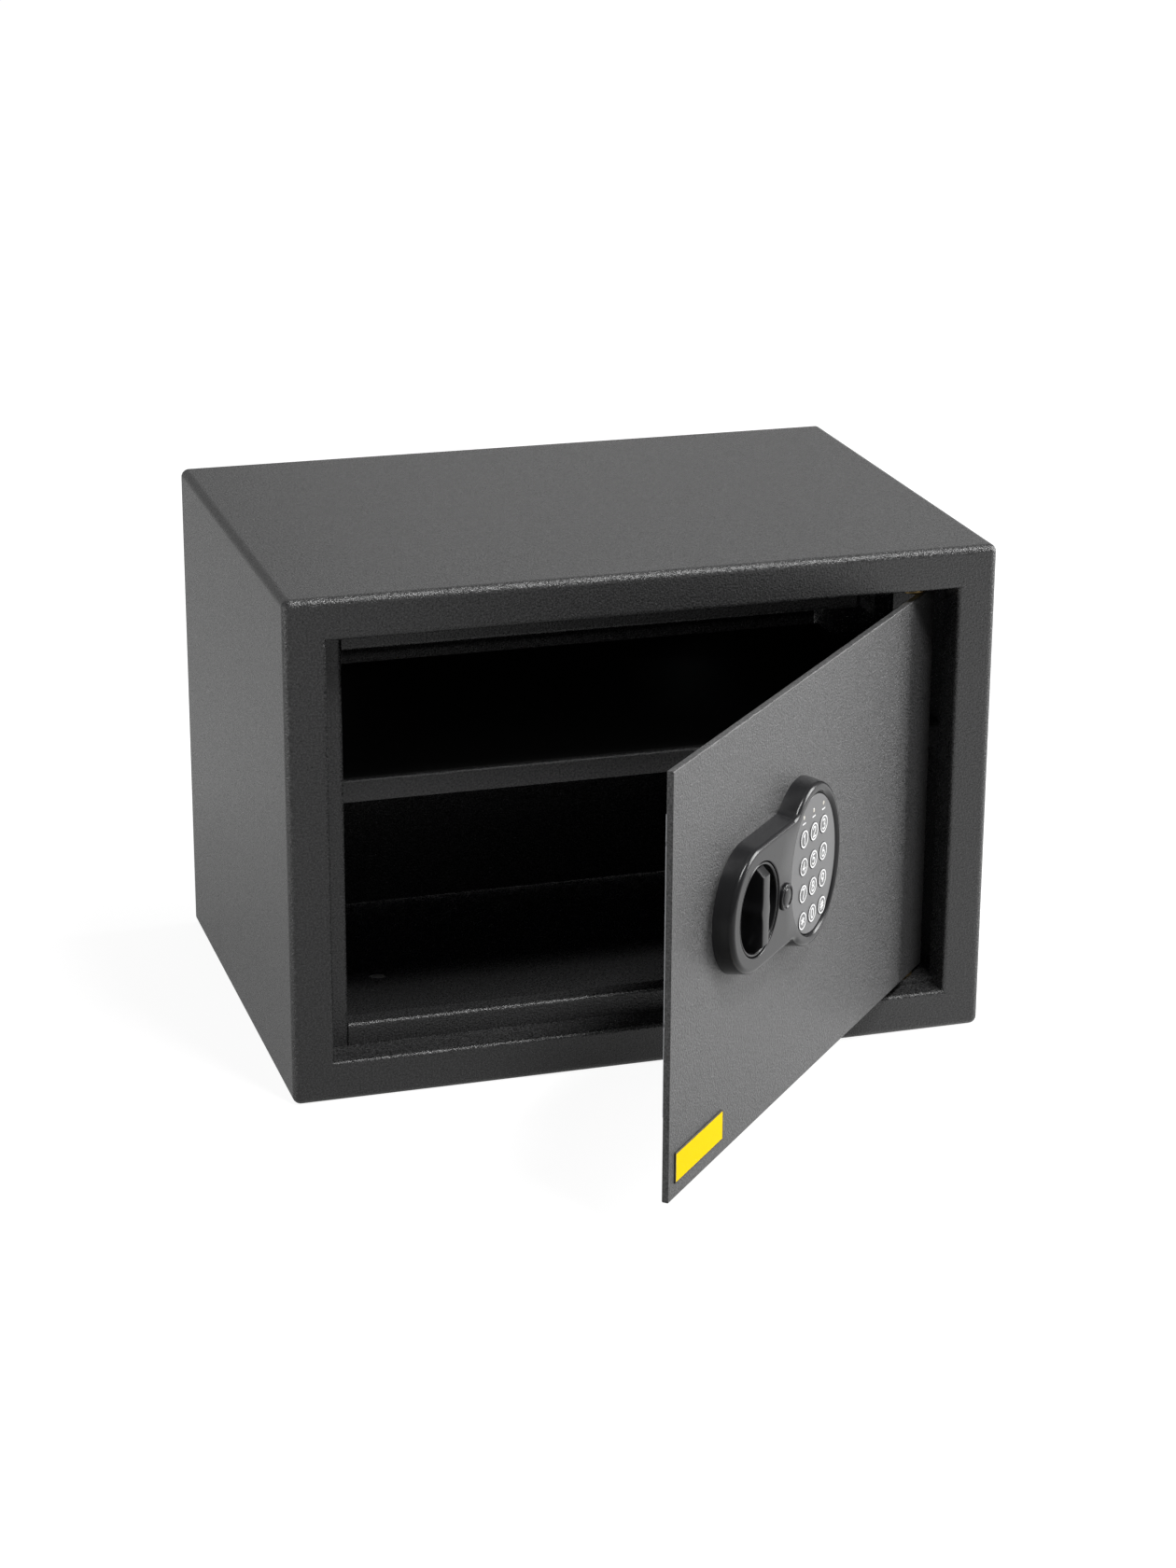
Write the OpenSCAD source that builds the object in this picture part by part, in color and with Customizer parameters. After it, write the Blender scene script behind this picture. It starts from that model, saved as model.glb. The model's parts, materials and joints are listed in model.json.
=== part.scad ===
// Electronic safe: a steel cabinet with a deep-set door that swings on two pins at its right side.
// The door carries a lock panel with a knob and a keypad. Behind the door are two sliding bolts,
// an electric release, an emergency lock, a control board and four cells under a steel cover.
// Millimetres. The origin is the centre of the underside, the front faces -Y and +Z is up.

/* [Cabinet] */
// Outside width
body_w = 350; // [330:5:450]
// Outside height
body_h = 250; // [246:2:400]
// Outside depth without the door
body_d = 245; // [200:5:400]
// Sheet thickness of the walls
sheet = 2; // [1.5:0.25:2.5]
// Outer radius of the folded edges
bend_r = 4; // [3:0.5:6]
// Width of the front frame at the sides
frame_side = 20; // [18:0.5:26]
// Width of the front frame at the top and bottom
frame_top = 20.5; // [18:0.5:26]
// Depth of the jamb behind the front plane
jamb_d = 18; // [14:0.5:24]
// Diameter of the anchor holes
anchor_d = 10; // [6:0.5:12]
// Distance between the two holes of each anchor pair
anchor_pitch = 200; // [120:5:240]
// Height of the anchor holes in the back
back_anchor_z = 175; // [160:5:220]
// Distance of the floor anchor holes behind the centre
floor_anchor_y = 20; // [-40:5:60]

/* [Stop strips] */
// Part of the strip that shows inside the opening
strip_show = 11; // [8:0.5:13]
// Part of the strip that lies behind the jamb
strip_hide = 9; // [6:0.5:11]
// Depth of the leg that points back
strip_leg = 10; // [7:0.5:12]
// Sheet thickness of the strips
strip_t = 1.5; // [1:0.25:2]
// Distance between the strip ends and the hinge side of the opening
strip_short = 45; // [42:1:60]

/* [Shelf] */
// Height of the shelf's top face
shelf_z = 141.5; // [136:0.5:150]
// Distance of the shelf's front behind the front plane
shelf_set = 55; // [54:1:80]
// Sheet thickness of the shelf
shelf_t = 1.2; // [1:0.1:2]
// Height of the turned-down front lip
shelf_lip = 11.3; // [9:0.1:12]
// Gap between the shelf and the side walls
shelf_side_gap = 0.5; // [0.3:0.1:1]
// Gap between the shelf and the back panel
shelf_back_gap = 8; // [2:1:20]
// Length of each shelf support
support_w = 16; // [10:1:24]
// Reach of each shelf support under the shelf
support_reach = 12; // [8:1:16]
// Height of each shelf support
support_h = 20; // [12:1:26]

/* [Door] */
// Thickness of the door plate
door_t = 3.2; // [2.5:0.1:4]
// Gap between the door's back face and the stop strips when it is closed
stop_gap = 0.3; // [0.2:0.1:0.6]
// Gap along the door's free edge
gap_free = 2.5; // [1.5:0.25:3]
// Gap above and below the door
gap_z = 5.5; // [5:0.25:7]
// Opening angle at rest, from the closed door
rest_angle = 47.2; // [20:0.1:80]
// Label plate width
label_w = 50.5; // [30:0.5:60]
// Label plate height
label_h = 14.7; // [8:0.1:20]
// Label plate thickness
label_t = 0.6; // [0.3:0.1:1]
// Distance of the label plate from the free edge and from the bottom edge
label_in = [6, 7];

/* [Hinge] */
// Diameter of the hinge pins
pin_d = 8; // [6:0.5:9]
// Door plate beyond the pin's axis
door_tail = 10.9; // [9:0.1:12]
// Clearance between the swinging tail and the jamb
jamb_clear = 1.67; // [1:0.01:2.5]
// Length of each hinge block
block_h = 24; // [16:1:30]
// Width of each hinge block
block_w = 14; // [13:0.5:16]
// Thickness of the hinge brackets
bracket_t = 3; // [2.5:0.25:4]
// Height of the bracket leg on the side wall
bracket_leg = 34; // [20:1:50]

/* [Lock panel] */
// Height of the lock panel over the door face
panel_h = 9.5; // [9:0.1:12]
// Radius of the knob end
panel_r = 30.4; // [29.5:0.1:32]
// Half width and half height of the keypad end
panel_key = [33, 40];
// Radius of the hollow curve between both ends
panel_fillet = 8; // [5:0.5:10]
// Rounding of the panel's front edge
panel_round = 2.5; // [1.5:0.1:3]
// Draft of the panel's side
panel_draft = 1.2; // [0.5:0.1:1.8]
// Distance of the knob's axis from the door's free edge
knob_in = 72.2; // [70:0.1:75]
// Height of the knob's axis over the door's bottom edge
knob_up = 112.8; // [110:0.2:115]
// Distance from the knob's axis to the keypad's centre
key_in = 62.3; // [61:0.1:64]

/* [Knob] */
// Bore of the panel for the knob
knob_bore = 43.4; // [40:0.2:44]
// Gap between the knob and its bore
knob_gap = 0.3; // [0.2:0.05:0.5]
// Width of the grip vane
vane_w = 7; // [5:0.5:9]
// Height of the grip vane over the panel's face
vane_up = 3; // [1:0.5:5]
// Radius of the hub under the vane
hub_r = 6; // [5:0.25:8]
// Diameter of the knob's shaft
shaft_d = 10; // [9:0.5:11]

/* [Keypad] */
// Half width and half height of the keypad face
pad_half = [26.5, 33];
// Depth of the keypad face under the panel's rim
pad_sunk = 1; // [0.5:0.1:1.5]
// Pitch of the keys across and up
key_pitch = [11.3, 13.2];
// Diameter of a key
key_d = 8.6; // [7.5:0.1:8.8]
// Travel of a key
key_travel = 0.5; // [0.3:0.05:0.6]
// Height of a key over the keypad face
key_up = 0.4; // [0.2:0.1:0.6]
// Diameter of a status lens
lens_d = 2.2; // [1.6:0.1:3]

/* [Bolts] */
// Diameter of the bolts
bolt_d = 10; // [8:0.5:10]
// Distance between the two bolts
bolt_spread = 84; // [82:1:90]
// Travel of the bolts
bolt_travel = 20; // [18:0.5:20]
// Length of a bolt outside its carriage
bolt_len = 35; // [35:0.5:36]
// Play between a bolt and the back of the stop strip
bolt_play = 0.5; // [0.5:0.1:0.8]
// Thickness of the carriage
carriage_t = 2.5; // [2:0.25:3]
// Diameter of the crank pin
crank_d = 5; // [4:0.25:6]

/* [Electric release] */
// Diameter of the plunger
plunger_d = 6; // [5:0.25:6.5]
// Drop of the plunger into its notch
plunger_drop = 4.5; // [3.5:0.25:5]
// Radius of the coil
coil_r = 10.5; // [9:0.25:11]
// Height of the coil
coil_h = 23; // [21:1:23]
// Wire diameter of the spring
spring_wire = 0.7; // [0.5:0.1:0.9]

/* [Emergency lock] */
// Diameter of the lock body
lock_d = 11; // [10:0.25:11.5]
// Diameter of the keyhole cap
cap_d = 12.6; // [12:0.1:13]
// Height of the cap's dome
cap_h = 1.7; // [1:0.1:2.5]
// Place of the lock from the knob's axis, across and up
lock_at = [28.3, -3.8];

/* [Cover and cells] */
// Sheet thickness of the lock cover
cover_t = 1; // [0.8:0.1:1.5]
// Height of the lock cover
cover_h = 150; // [148:1:152]
// Width of the lock cover
cover_w = 184.3; // [184:0.1:188]
// Distance from the door's back face to the bottom of the cover, inside
cover_room = 30; // [30:0.1:34]
// Diameter of a cell
cell_d = 14.5; // [14:0.1:14.6]
// Length of a cell without its nub
cell_l = 49; // [47:0.5:50]
// Wall of the battery tray
tray_t = 1.5; // [1:0.25:2]
// Diameter of the reset button
reset_d = 6; // [4:0.5:7]
// Travel of the reset button
reset_travel = 1; // [0.5:0.1:1.2]

/* [Hidden] */
// Names of the pieces
$fn = 48;
// Running clearance on a radius
run = 0.05;
// Clearance round a fixed piece that is welded or pushed in
weld = 0.1;
// Gap at which a loose piece lies from its seat
seat = 0.1;

// Cabinet planes
in_x = body_w/2 - sheet;
front_y = -body_d/2;
back_y = body_d/2;
open_x = body_w/2 - frame_side;
open_z0 = frame_top;
open_z1 = body_h - frame_top;
stop_y = front_y + jamb_d;
strip_x = strip_show - open_x;
strip_end = open_x - strip_short;

// Door planes and the hinge axis, with the door closed
back_face_y = stop_y - stop_gap;
face_y = back_face_y - door_t;
pivot_back = door_t + pin_d/2 + 0.3;
pivot_y = face_y + pivot_back;
pivot_x = open_x - jamb_clear - sqrt(door_tail*door_tail + pivot_back*pivot_back);
door_x0 = gap_free - open_x;
door_x1 = pivot_x + door_tail;
door_z0 = open_z0 + gap_z;
door_z1 = open_z1 - gap_z;
washer_gap = 0.1;

// Lock panel axes
knob_x = door_x0 + knob_in;
panel_z = door_z0 + knob_up;
key_x = knob_x + key_in;
lock_x = knob_x + lock_at[0];
lock_z = panel_z + lock_at[1];
pad_top = panel_h - pad_sunk;
board_top = 3.5;
pad_board_t = 1.6;
key_rows = [1.19, 0.18, -0.81, -1.81];
lens_row = 1.95;

// Levels behind the door face, all negative, from the door towards the inside
back_h = -door_t;
bush_lip = 1.4;
cam_top = back_h - bush_lip - 0.4;
cam_t = 3;
screw_head = 2.3;
bolt_h = back_h - stop_gap - strip_t - bolt_play - bolt_d/2;
carriage_top = bolt_h - bolt_d/2 - 0.4;
carriage_bot = carriage_top - carriage_t;
crank_end = carriage_bot - 1.5;
tongue_top = carriage_bot - 1.2;
tongue_t = 2;
cover_in = back_h - cover_room;
cover_out = cover_in - cover_t;

// Bolt work
bolt_tip = strip_x + 14;
guide_x = bolt_tip + 9.5;
guide_t = 2;
guide_in = guide_x + guide_t;
guide_bot = carriage_top - 2;
bush_r = bolt_d/2 + 1.2;
bush_end = guide_in + 3;
carriage_x = bolt_tip + bolt_len;
crank_r = bolt_travel/2/cos(45);
slot_gap = 0.7;
carriage_x1 = knob_x + 19.8;
carriage_z = bolt_spread/2 + 4;
post_r = 2.5;
post_x = carriage_x + 5.5;
post_z = bolt_spread/2 - 8;

// Electric release
sol_x = knob_x + 34.3;
sol_h = carriage_bot - 1;
arm_z0 = lock_z + lock_d/2 + 3;
arm_z1 = arm_z0 + plunger_drop + 5;
arm_x1 = sol_x + bolt_travel + 8;
tip_z = arm_z1 + 0.3;
collar_z = tip_z + plunger_drop + 0.2;
collar_t = 1.5;
collar_r = 6;
spring_l = 8;
frame_t = 1.5;
sol_z0 = collar_z + collar_t + spring_l;
coil_z0 = sol_z0 + frame_t + weld;
sol_z1 = coil_z0 + coil_h + weld;
tongue_r = collar_z - plunger_drop - 0.3 - lock_z;

// Cover, board and cells
cover_x0 = guide_in + 0.2;
// The cover's side slopes from slope_h down to its bottom over slope_w
slope_w = 34.3;
slope_h = carriage_bot - 0.2;
cover_x1 = cover_x0 + cover_w;
// Lower edge of the cover under the knob's axis
cover_drop = 92.8;
cover_z0 = panel_z - cover_drop;
cover_z1 = cover_z0 + cover_h;
cover_post_r = 3.5;
// Distances of the cover's screws from its edges
post_in = [5, 8, 10, 8, 7];
cover_at = [[cover_x0 + slope_w + post_in[3], cover_z0 + post_in[2]],
    [cover_x0 + slope_w + post_in[3], cover_z1 - post_in[4]],
    [cover_x1 - post_in[0], cover_z0 + post_in[1]], [cover_x1 - post_in[0], cover_z1 - post_in[1]]];
// Distance of the tray from the cover's edge, and room for the contacts at both ends of a cell
tray_in = 10;
contact_room = 8;
tray_x1 = cover_x1 - tray_in;
tray_in_w = cell_l + contact_room;
cell_pitch = cell_d + 0.2;
tray_x0 = tray_x1 - tray_in_w - 2*tray_t;
tray_z0 = cover_z0 + 2;
tray_z1 = tray_z0 + 4*cell_pitch + 0.2 + 2*tray_t;
cell_h = cover_in + 1.95 + cell_d/2;
tray_floor = cell_h + cell_d/2 + 0.75;
board_t = 1.6;
board_h = cover_in + 7.2;
// Distance of the flat lead from the keypad's centre and from the board's edges
ribbon_in = 18;
ribbon_edge = 12;
ribbon_low = 8;
board_gap = 8;
board_in = 6;
reset_in = [9, 12];
ribbon_x = key_x + ribbon_in;
board_x0 = ribbon_x - ribbon_edge;
board_x1 = tray_x1 - 1;
board_z0 = tray_z1 + board_gap;
board_z1 = cover_z1 - board_in;
reset_x = board_x1 - reset_in[0];
reset_z = board_z1 - reset_in[1];

// Box by its two corners
module box(x0, x1, y0, y1, z0, z1) {
    translate([x0, y0, z0]) cube([x1 - x0, y1 - y0, z1 - z0]);
}

// Flat rounded rectangle with its centre at the origin
module round_rect(w, h, r) {
    square([w - 2*r, h], center = true);
    square([w, h - 2*r], center = true);
    for (sx = [-1, 1], sy = [-1, 1]) translate([sx*(w/2 - r), sy*(h/2 - r)]) circle(r);
}

// Cylinder along the third axis
module peg(x, y, z0, z1, r) {
    translate([x, y, z0]) cylinder(h = z1 - z0, r = r);
}

// Cylinder along the first axis
module peg_x(x0, x1, y, z, r) {
    translate([x0, y, z]) rotate([0, 90, 0]) cylinder(h = x1 - x0, r = r);
}

// Cylinder along the second axis
module peg_y(x, y0, y1, z, r) {
    translate([x, y0, z]) rotate([-90, 0, 0]) cylinder(h = y1 - y0, r = r);
}

// Door frame: x runs along the door, y runs up and z stands out of its front face
module on_door() {
    translate([pivot_x, pivot_y, 0]) rotate([0, 0, rest_angle]) translate([-pivot_x, -pivot_y, 0])
        translate([0, face_y, 0]) rotate([90, 0, 0]) children();
}

// Wrapped body with rounded front edges, the front frame and the jamb
module cabinet_shell() {
    c = body_h/2;
    color("#4c4d4f") difference() {
        union() {
            difference() {
                union() {
                    translate([0, back_y, c]) rotate([90, 0, 0])
                        linear_extrude(body_d - bend_r) round_rect(body_w, body_h, bend_r);
                    box(bend_r - body_w/2, body_w/2 - bend_r, front_y, front_y + bend_r + 1,
                        bend_r, body_h - bend_r);
                    for (z = [bend_r, body_h - bend_r])
                        peg_x(bend_r - body_w/2, body_w/2 - bend_r, front_y + bend_r, z, bend_r);
                    for (x = [bend_r - body_w/2, body_w/2 - bend_r]) {
                        peg(x, front_y + bend_r, bend_r, body_h - bend_r, bend_r);
                        for (z = [bend_r, body_h - bend_r])
                            translate([x, front_y + bend_r, z]) sphere(bend_r);
                    }
                }
                translate([0, back_y + 1, c]) rotate([90, 0, 0])
                    linear_extrude(body_d - sheet + 1)
                        round_rect(body_w - 2*sheet, body_h - 2*sheet, bend_r - sheet + 0.5);
                box(-open_x - sheet, open_x + sheet, front_y - 1, front_y + sheet + 1,
                    open_z0 - sheet, open_z1 + sheet);
            }
            jamb();
        }
        for (s = [-1, 1]) peg(s*anchor_pitch/2, floor_anchor_y, -1, sheet + 1, anchor_d/2);
    }
}

// Four jamb walls that roll in from the front frame
module jamb() {
    difference() {
        box(-open_x - sheet, open_x + sheet, front_y + sheet, stop_y, open_z0 - sheet, open_z1 + sheet);
        box(-open_x, open_x, front_y, stop_y + 1, open_z0, open_z1);
    }
    for (z = [open_z0 - sheet, open_z1 + sheet])
        peg_x(-open_x - sheet, open_x + sheet, front_y + sheet, z, sheet);
    for (x = [-open_x - sheet, open_x + sheet])
        peg(x, front_y + sheet, open_z0 - sheet, open_z1 + sheet, sheet);
}

// Welded back plate with its two anchor holes
module back_panel() {
    r = bend_r - sheet + 0.5;
    color("#404143") difference() {
        translate([0, back_y, body_h/2]) rotate([90, 0, 0]) linear_extrude(sheet)
            round_rect(body_w - 2*sheet - 2*weld, body_h - 2*sheet - 2*weld, r);
        for (s = [-1, 1]) peg_y(s*anchor_pitch/2, back_y - sheet - 1, back_y + 1, back_anchor_z, anchor_d/2);
    }
}

// Stop strip section: the face leg runs to the left and the other leg points back
module strip_section() {
    w = strip_show + strip_hide;
    r = strip_t + 0.5;
    difference() {
        union() {
            translate([-w, 0]) square([w - r, strip_t]);
            translate([-strip_t, r]) square([strip_t, strip_leg - r]);
            translate([-r, r]) circle(r);
        }
        translate([-r, r]) circle(r - strip_t);
        translate([-w, strip_t]) square([w - strip_t, strip_leg]);
    }
}

// Strip on the side of the bolts, with two notches in its back leg where they pass
module stop_strip_left() {
    n = bolt_d/2 + 1;
    color("#47484a") difference() {
        translate([strip_x, stop_y, open_z0 - strip_hide])
            linear_extrude(open_z1 - open_z0 + 2*strip_hide) strip_section();
        for (s = [-1, 1]) translate([0, 0, panel_z + s*bolt_spread/2])
            box(strip_x - strip_t - 0.6, strip_x + 1, stop_y + strip_t + 0.1, stop_y + strip_leg + 1, -n, n);
    }
}

// Strip along the x axis whose face leg points down
module cross_strip() {
    rotate([90, 0, 90]) linear_extrude(strip_end - strip_x) rotate([0, 0, 90]) mirror([0, 1, 0])
        strip_section();
}

module stop_strip_bottom() {
    color("#47484a") translate([strip_x, stop_y, open_z0 + strip_show]) cross_strip();
}

module stop_strip_top() {
    color("#47484a") translate([strip_x, stop_y, open_z1 - strip_show]) mirror([0, 0, 1]) cross_strip();
}

module shelf() {
    x = in_x - shelf_side_gap;
    y0 = front_y + shelf_set;
    r = shelf_t + 0.6;
    color("#1c1c1e") difference() {
        union() {
            box(-x, x, y0 + r, back_y - sheet - shelf_back_gap, shelf_z - shelf_t, shelf_z);
            box(-x, x, y0, y0 + shelf_t, shelf_z - shelf_lip, shelf_z - r);
            peg_x(-x, x, y0 + r, shelf_z - r, r);
        }
        box(-x - 1, x + 1, y0 + shelf_t, y0 + 3*r, shelf_z - 3*r, shelf_z - shelf_t);
    }
}

module shelf_support() {
    z1 = shelf_z - shelf_t;
    box(in_x - strip_t, in_x, -support_w/2, support_w/2, z1 - support_h, z1);
    box(in_x - support_reach, in_x, -support_w/2, support_w/2, z1 - strip_t, z1);
}

module shelf_supports() {
    y0 = front_y + shelf_set + 18;
    y1 = back_y - sheet - shelf_back_gap - 22;
    color("#404143") for (y = [y0, y1], s = [0, 1]) translate([0, y, 0]) mirror([s, 0, 0]) shelf_support();
}

// Bracket on the bottom jamb and the side wall, with the pin's bore
module hinge_bracket() {
    z0 = open_z0;
    z1 = open_z0 + bracket_t;
    y1 = pivot_y + 17;
    color("#3a3b3d") difference() {
        union() {
            box(pivot_x - 22, open_x - weld, pivot_y - 9.5, y1, z0, z1);
            box(open_x - 1, in_x, stop_y + weld, y1, z0, z1);
            box(in_x - sheet, in_x, stop_y + weld, y1, z0, z0 + bracket_leg);
        }
        peg(pivot_x, pivot_y, z0 - 1, z1 + 1, pin_d/2 + run);
    }
}

module hinge_bracket_bottom() {
    hinge_bracket();
}

// The top bracket also has a turned-down end
module hinge_bracket_top() {
    x = pivot_x - 22;
    hinge_bracket_at_top() hinge_bracket();
    color("#3a3b3d") box(x, x + 2, pivot_y - 1, pivot_y + 13, open_z1 - bracket_t - 12, open_z1 - bracket_t);
}

module hinge_bracket_at_top() {
    translate([0, 0, body_h]) mirror([0, 0, 1]) children();
}

module hinge_washer() {
    z0 = open_z0 + bracket_t;
    difference() {
        peg(pivot_x, pivot_y, z0, door_z0 - washer_gap, pin_d/2 + 2.5);
        peg(pivot_x, pivot_y, z0 - 1, door_z0 + 1, pin_d/2 + 0.3);
    }
}

module hinge_washers() {
    color("#b9a36a") {
        hinge_washer();
        hinge_bracket_at_top() hinge_washer();
    }
}

// Flat door leaf with the cut-outs behind the lock panel
module door_plate() {
    color("#6b6c6e") on_door() difference() {
        box(door_x0, door_x1, door_z0, door_z1, back_h, 0);
        peg(knob_x, panel_z, back_h - 1, 1, shaft_d/2 + 2 + weld);
        peg(lock_x, lock_z, back_h - 1, 1, lock_d/2 + weld);
        for (p = screw_at()) peg(p[0], p[1], back_h - 1, 1, 1.6);
        box(ribbon_x - 2, ribbon_x + 2, ribbon_z() - 8, ribbon_z() + 8, back_h - 1, 1);
    }
}

function ribbon_z() = board_z0 + ribbon_low;

module hinge_blocks() {
    h0 = -pivot_back - block_w/2;
    color("#6b6c6e") on_door() for (z = [door_z0, door_z1 - block_h]) difference() {
        box(pivot_x - block_w/2, pivot_x + block_w/2, z, z + block_h, h0, back_h);
        peg_y(pivot_x, z - 1, z + block_h + 1, -pivot_back, pin_d/2 + run);
    }
}

// Upright pins pushed into the hinge blocks
module hinge_pins() {
    a = open_z0 - 2;
    b = open_z1 + 2;
    color("#c9c9cc") on_door() {
        peg_y(pivot_x, a, door_z0 + block_h - 2, -pivot_back, pin_d/2);
        peg_y(pivot_x, door_z1 - block_h + 2, b, -pivot_back, pin_d/2);
    }
}

module label_plate() {
    x = door_x0 + label_in[0];
    z = door_z0 + label_in[1];
    color("#ffd400") on_door() box(x, x + label_w, z, z + label_h, 0, label_t);
}

// Outline of the lock panel from the knob's axis: a half circle, two straight sides, two hollow
// curves and an ellipse
function ell_p(t) = [key_in + panel_key[0]*cos(t), panel_key[1]*sin(t)];
function ell_n(t) = let (v = [panel_key[1]*cos(t), panel_key[0]*sin(t)]) v/norm(v);
function join_gap(t) = ell_p(t)[1] + panel_fillet*ell_n(t)[1] - panel_r - panel_fillet;
function join_angle(a, b, n) = n == 0 ? (a + b)/2
    : join_gap((a + b)/2) > 0 ? join_angle((a + b)/2, b, n - 1) : join_angle(a, (a + b)/2, n - 1);
join_t = join_angle(90, 180, 30);
hollow_c = ell_p(join_t) + panel_fillet*ell_n(join_t);
hollow_a = atan2(-ell_n(join_t)[1], -ell_n(join_t)[0]);
upper_hollow = [for (k = [4:-1:0]) let (a = -90 + k/4*(hollow_a + 90))
    hollow_c + panel_fillet*[cos(a), sin(a)]];
lower_hollow = [for (k = [4:-1:0]) [upper_hollow[k][0], -upper_hollow[k][1]]];
panel_line = concat(
    [for (a = [90:7.5:270]) panel_r*[cos(a), sin(a)]],
    lower_hollow,
    [for (k = [1:39]) ell_p((2*k/40 - 1)*join_t)],
    upper_hollow);
panel_n = len(panel_line);
function edge_out(i) = let (d = panel_line[(i + 1)%panel_n] - panel_line[i%panel_n]) [d[1], -d[0]]/norm(d);
// Corner directions that keep every side parallel to itself when the outline shrinks
panel_mitre = [for (i = [0:panel_n - 1]) let (a = edge_out(i + panel_n - 1), b = edge_out(i)) (a + b)/(1 + a*b)];
function panel_ring(inset) = [for (i = [0:panel_n - 1])
    [knob_x, panel_z] + panel_line[i] - inset*panel_mitre[i]];

// Closed solid through the outline at several heights, each [height, inset]
module panel_loft(levels) {
    n = panel_n;
    m = len(levels);
    pts = [for (l = levels, q = panel_ring(l[1])) [q[0], q[1], l[0]]];
    sides = [for (j = [0:m - 2], i = [0:n - 1]) let (a = j*n + i, b = j*n + (i + 1)%n) [a, a + n, b + n, b]];
    ends = [[for (i = [0:n - 1]) i], [for (i = [n - 1:-1:0]) (m - 1)*n + i]];
    polyhedron(points = pts, faces = concat(sides, ends));
}

// Ellipse drawn as a polygon round the keypad's centre
module oval(half, grow) {
    translate([key_x, panel_z])
        polygon([for (a = [0:5:355]) [(half[0] + grow)*cos(a), (half[1] + grow)*sin(a)]]);
}

function screw_at() = [[knob_x - 18.4, panel_z + 18.4], [knob_x - 18.4, panel_z - 18.4],
    [knob_x + 34.3, panel_z + 23], [knob_x + 34.3, panel_z - 23]];

// Hollow moulding with the knob's sleeve, the keypad pocket and four screw bosses
module panel_housing() {
    top = panel_h - panel_round;
    skin = concat([[0, 0], [top, panel_draft]],
        [for (a = [18:18:90]) [top + panel_round*sin(a), panel_draft + panel_round*(1 - cos(a))]]);
    color("#232325") on_door() difference() {
        panel_loft(skin);
        difference() {
            translate([0, 0, -1]) linear_extrude(panel_h - 1.2) polygon(panel_ring(panel_draft + 2));
            peg(knob_x, panel_z, -2, panel_h, knob_bore/2 + 1.8);
            peg(lock_x, lock_z, -2, panel_h, lock_d/2 + 2.5);
            translate([0, 0, -2]) linear_extrude(panel_h + 2) oval(pad_half, 4.4);
            for (p = screw_at()) peg(p[0], p[1], -2, panel_h, 3.2);
        }
        peg(knob_x, panel_z, -1, panel_h + 1, knob_bore/2);
        peg(lock_x, lock_z, -1, panel_h + 1, lock_d/2 + weld);
        translate([0, 0, 1]) linear_extrude(panel_h) oval(pad_half, 0.2);
        translate([0, 0, -1]) linear_extrude(board_top + 1) oval(pad_half, 2);
        for (p = screw_at()) peg(p[0], p[1], -1, panel_h - 3.5, 1.5);
    }
}

module panel_screws() {
    color("#b5b5b8") on_door() for (p = screw_at()) {
        peg(p[0], p[1], back_h, panel_h - 4, 1.4);
        peg(p[0], p[1], back_h - 1.9, back_h, 3);
    }
}

function key_x_at(c) = key_x + (c - 1)*key_pitch[0];
function key_z_at(r) = panel_z + key_rows[r]*key_pitch[1];

module keypad_face() {
    color("#7f8082") on_door() difference() {
        translate([0, 0, board_top]) linear_extrude(pad_top - board_top) oval(pad_half, 0);
        for (c = [0:2], r = [0:3]) peg(key_x_at(c), key_z_at(r), 0, panel_h + 1, key_d/2 + 0.2);
        for (c = [0:2]) peg(key_x_at(c), panel_z + lens_row*key_pitch[1], 0, panel_h + 1, lens_d/2 + weld);
    }
}

module status_lenses() {
    color("#c9c2b0") on_door()
        for (c = [0:2]) peg(key_x_at(c), panel_z + lens_row*key_pitch[1], board_top, pad_top + 0.1, lens_d/2);
}

module keypad_board() {
    color("#2f6b3a") on_door() translate([0, 0, board_top - pad_board_t]) linear_extrude(pad_board_t)
        oval(pad_half, 1.8);
}

// Flat lead from the keypad's board to the control board
module keypad_ribbon() {
    color("#8d8f94") on_door()
        box(ribbon_x - 0.4, ribbon_x + 0.4, ribbon_z() - 6, ribbon_z() + 6, board_h, board_top - pad_board_t);
}

module knob_bush() {
    color("#d8d8d2") on_door() difference() {
        union() {
            peg(knob_x, panel_z, back_h, 0.3, shaft_d/2 + 2);
            peg(knob_x, panel_z, back_h - bush_lip, back_h, shaft_d/2 + 4.5);
        }
        peg(knob_x, panel_z, back_h - 5, 2, shaft_d/2 + run);
    }
}

// Round cup with a grip vane across it, on a shaft through the door
module knob() {
    r = knob_bore/2 - knob_gap;
    top = panel_h - 0.4;
    color("#1d1d1f") on_door() translate([knob_x, panel_z, 0]) {
        difference() {
            peg(0, 0, 0.6, top, r);
            peg(0, 0, 2.6, top + 1, r - 1.5);
        }
        difference() {
            peg(0, 0, 1, panel_h + vane_up, r - 1.3);
            for (s = [-1, 1]) translate([s*(vane_w/2 + r), 0, panel_h]) cube([2*r, 3*r, 30], center = true);
            for (s = [-1, 1]) translate([0, s*(r - 1.5), panel_h + vane_up]) rotate([s*-45, 0, 0])
                cube([2*r, 8, 3], center = true);
            peg(0, 0, 0, 0.9, r);
        }
        peg(0, 0, 2, panel_h + vane_up - 2.5, hub_r);
        difference() {
            union() {
                peg(0, 0, cam_top, 1, shaft_d/2);
                intersection() {
                    peg(0, 0, cam_top - cam_t + weld, cam_top, shaft_d/2 - 1.5);
                    translate([0, 0, cam_top - cam_t/2]) cube([shaft_d, shaft_d/2, cam_t + 1], center = true);
                }
            }
            peg(0, 0, cam_top - cam_t - 1, back_h + 1, 1.5);
        }
    }
}

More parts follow.
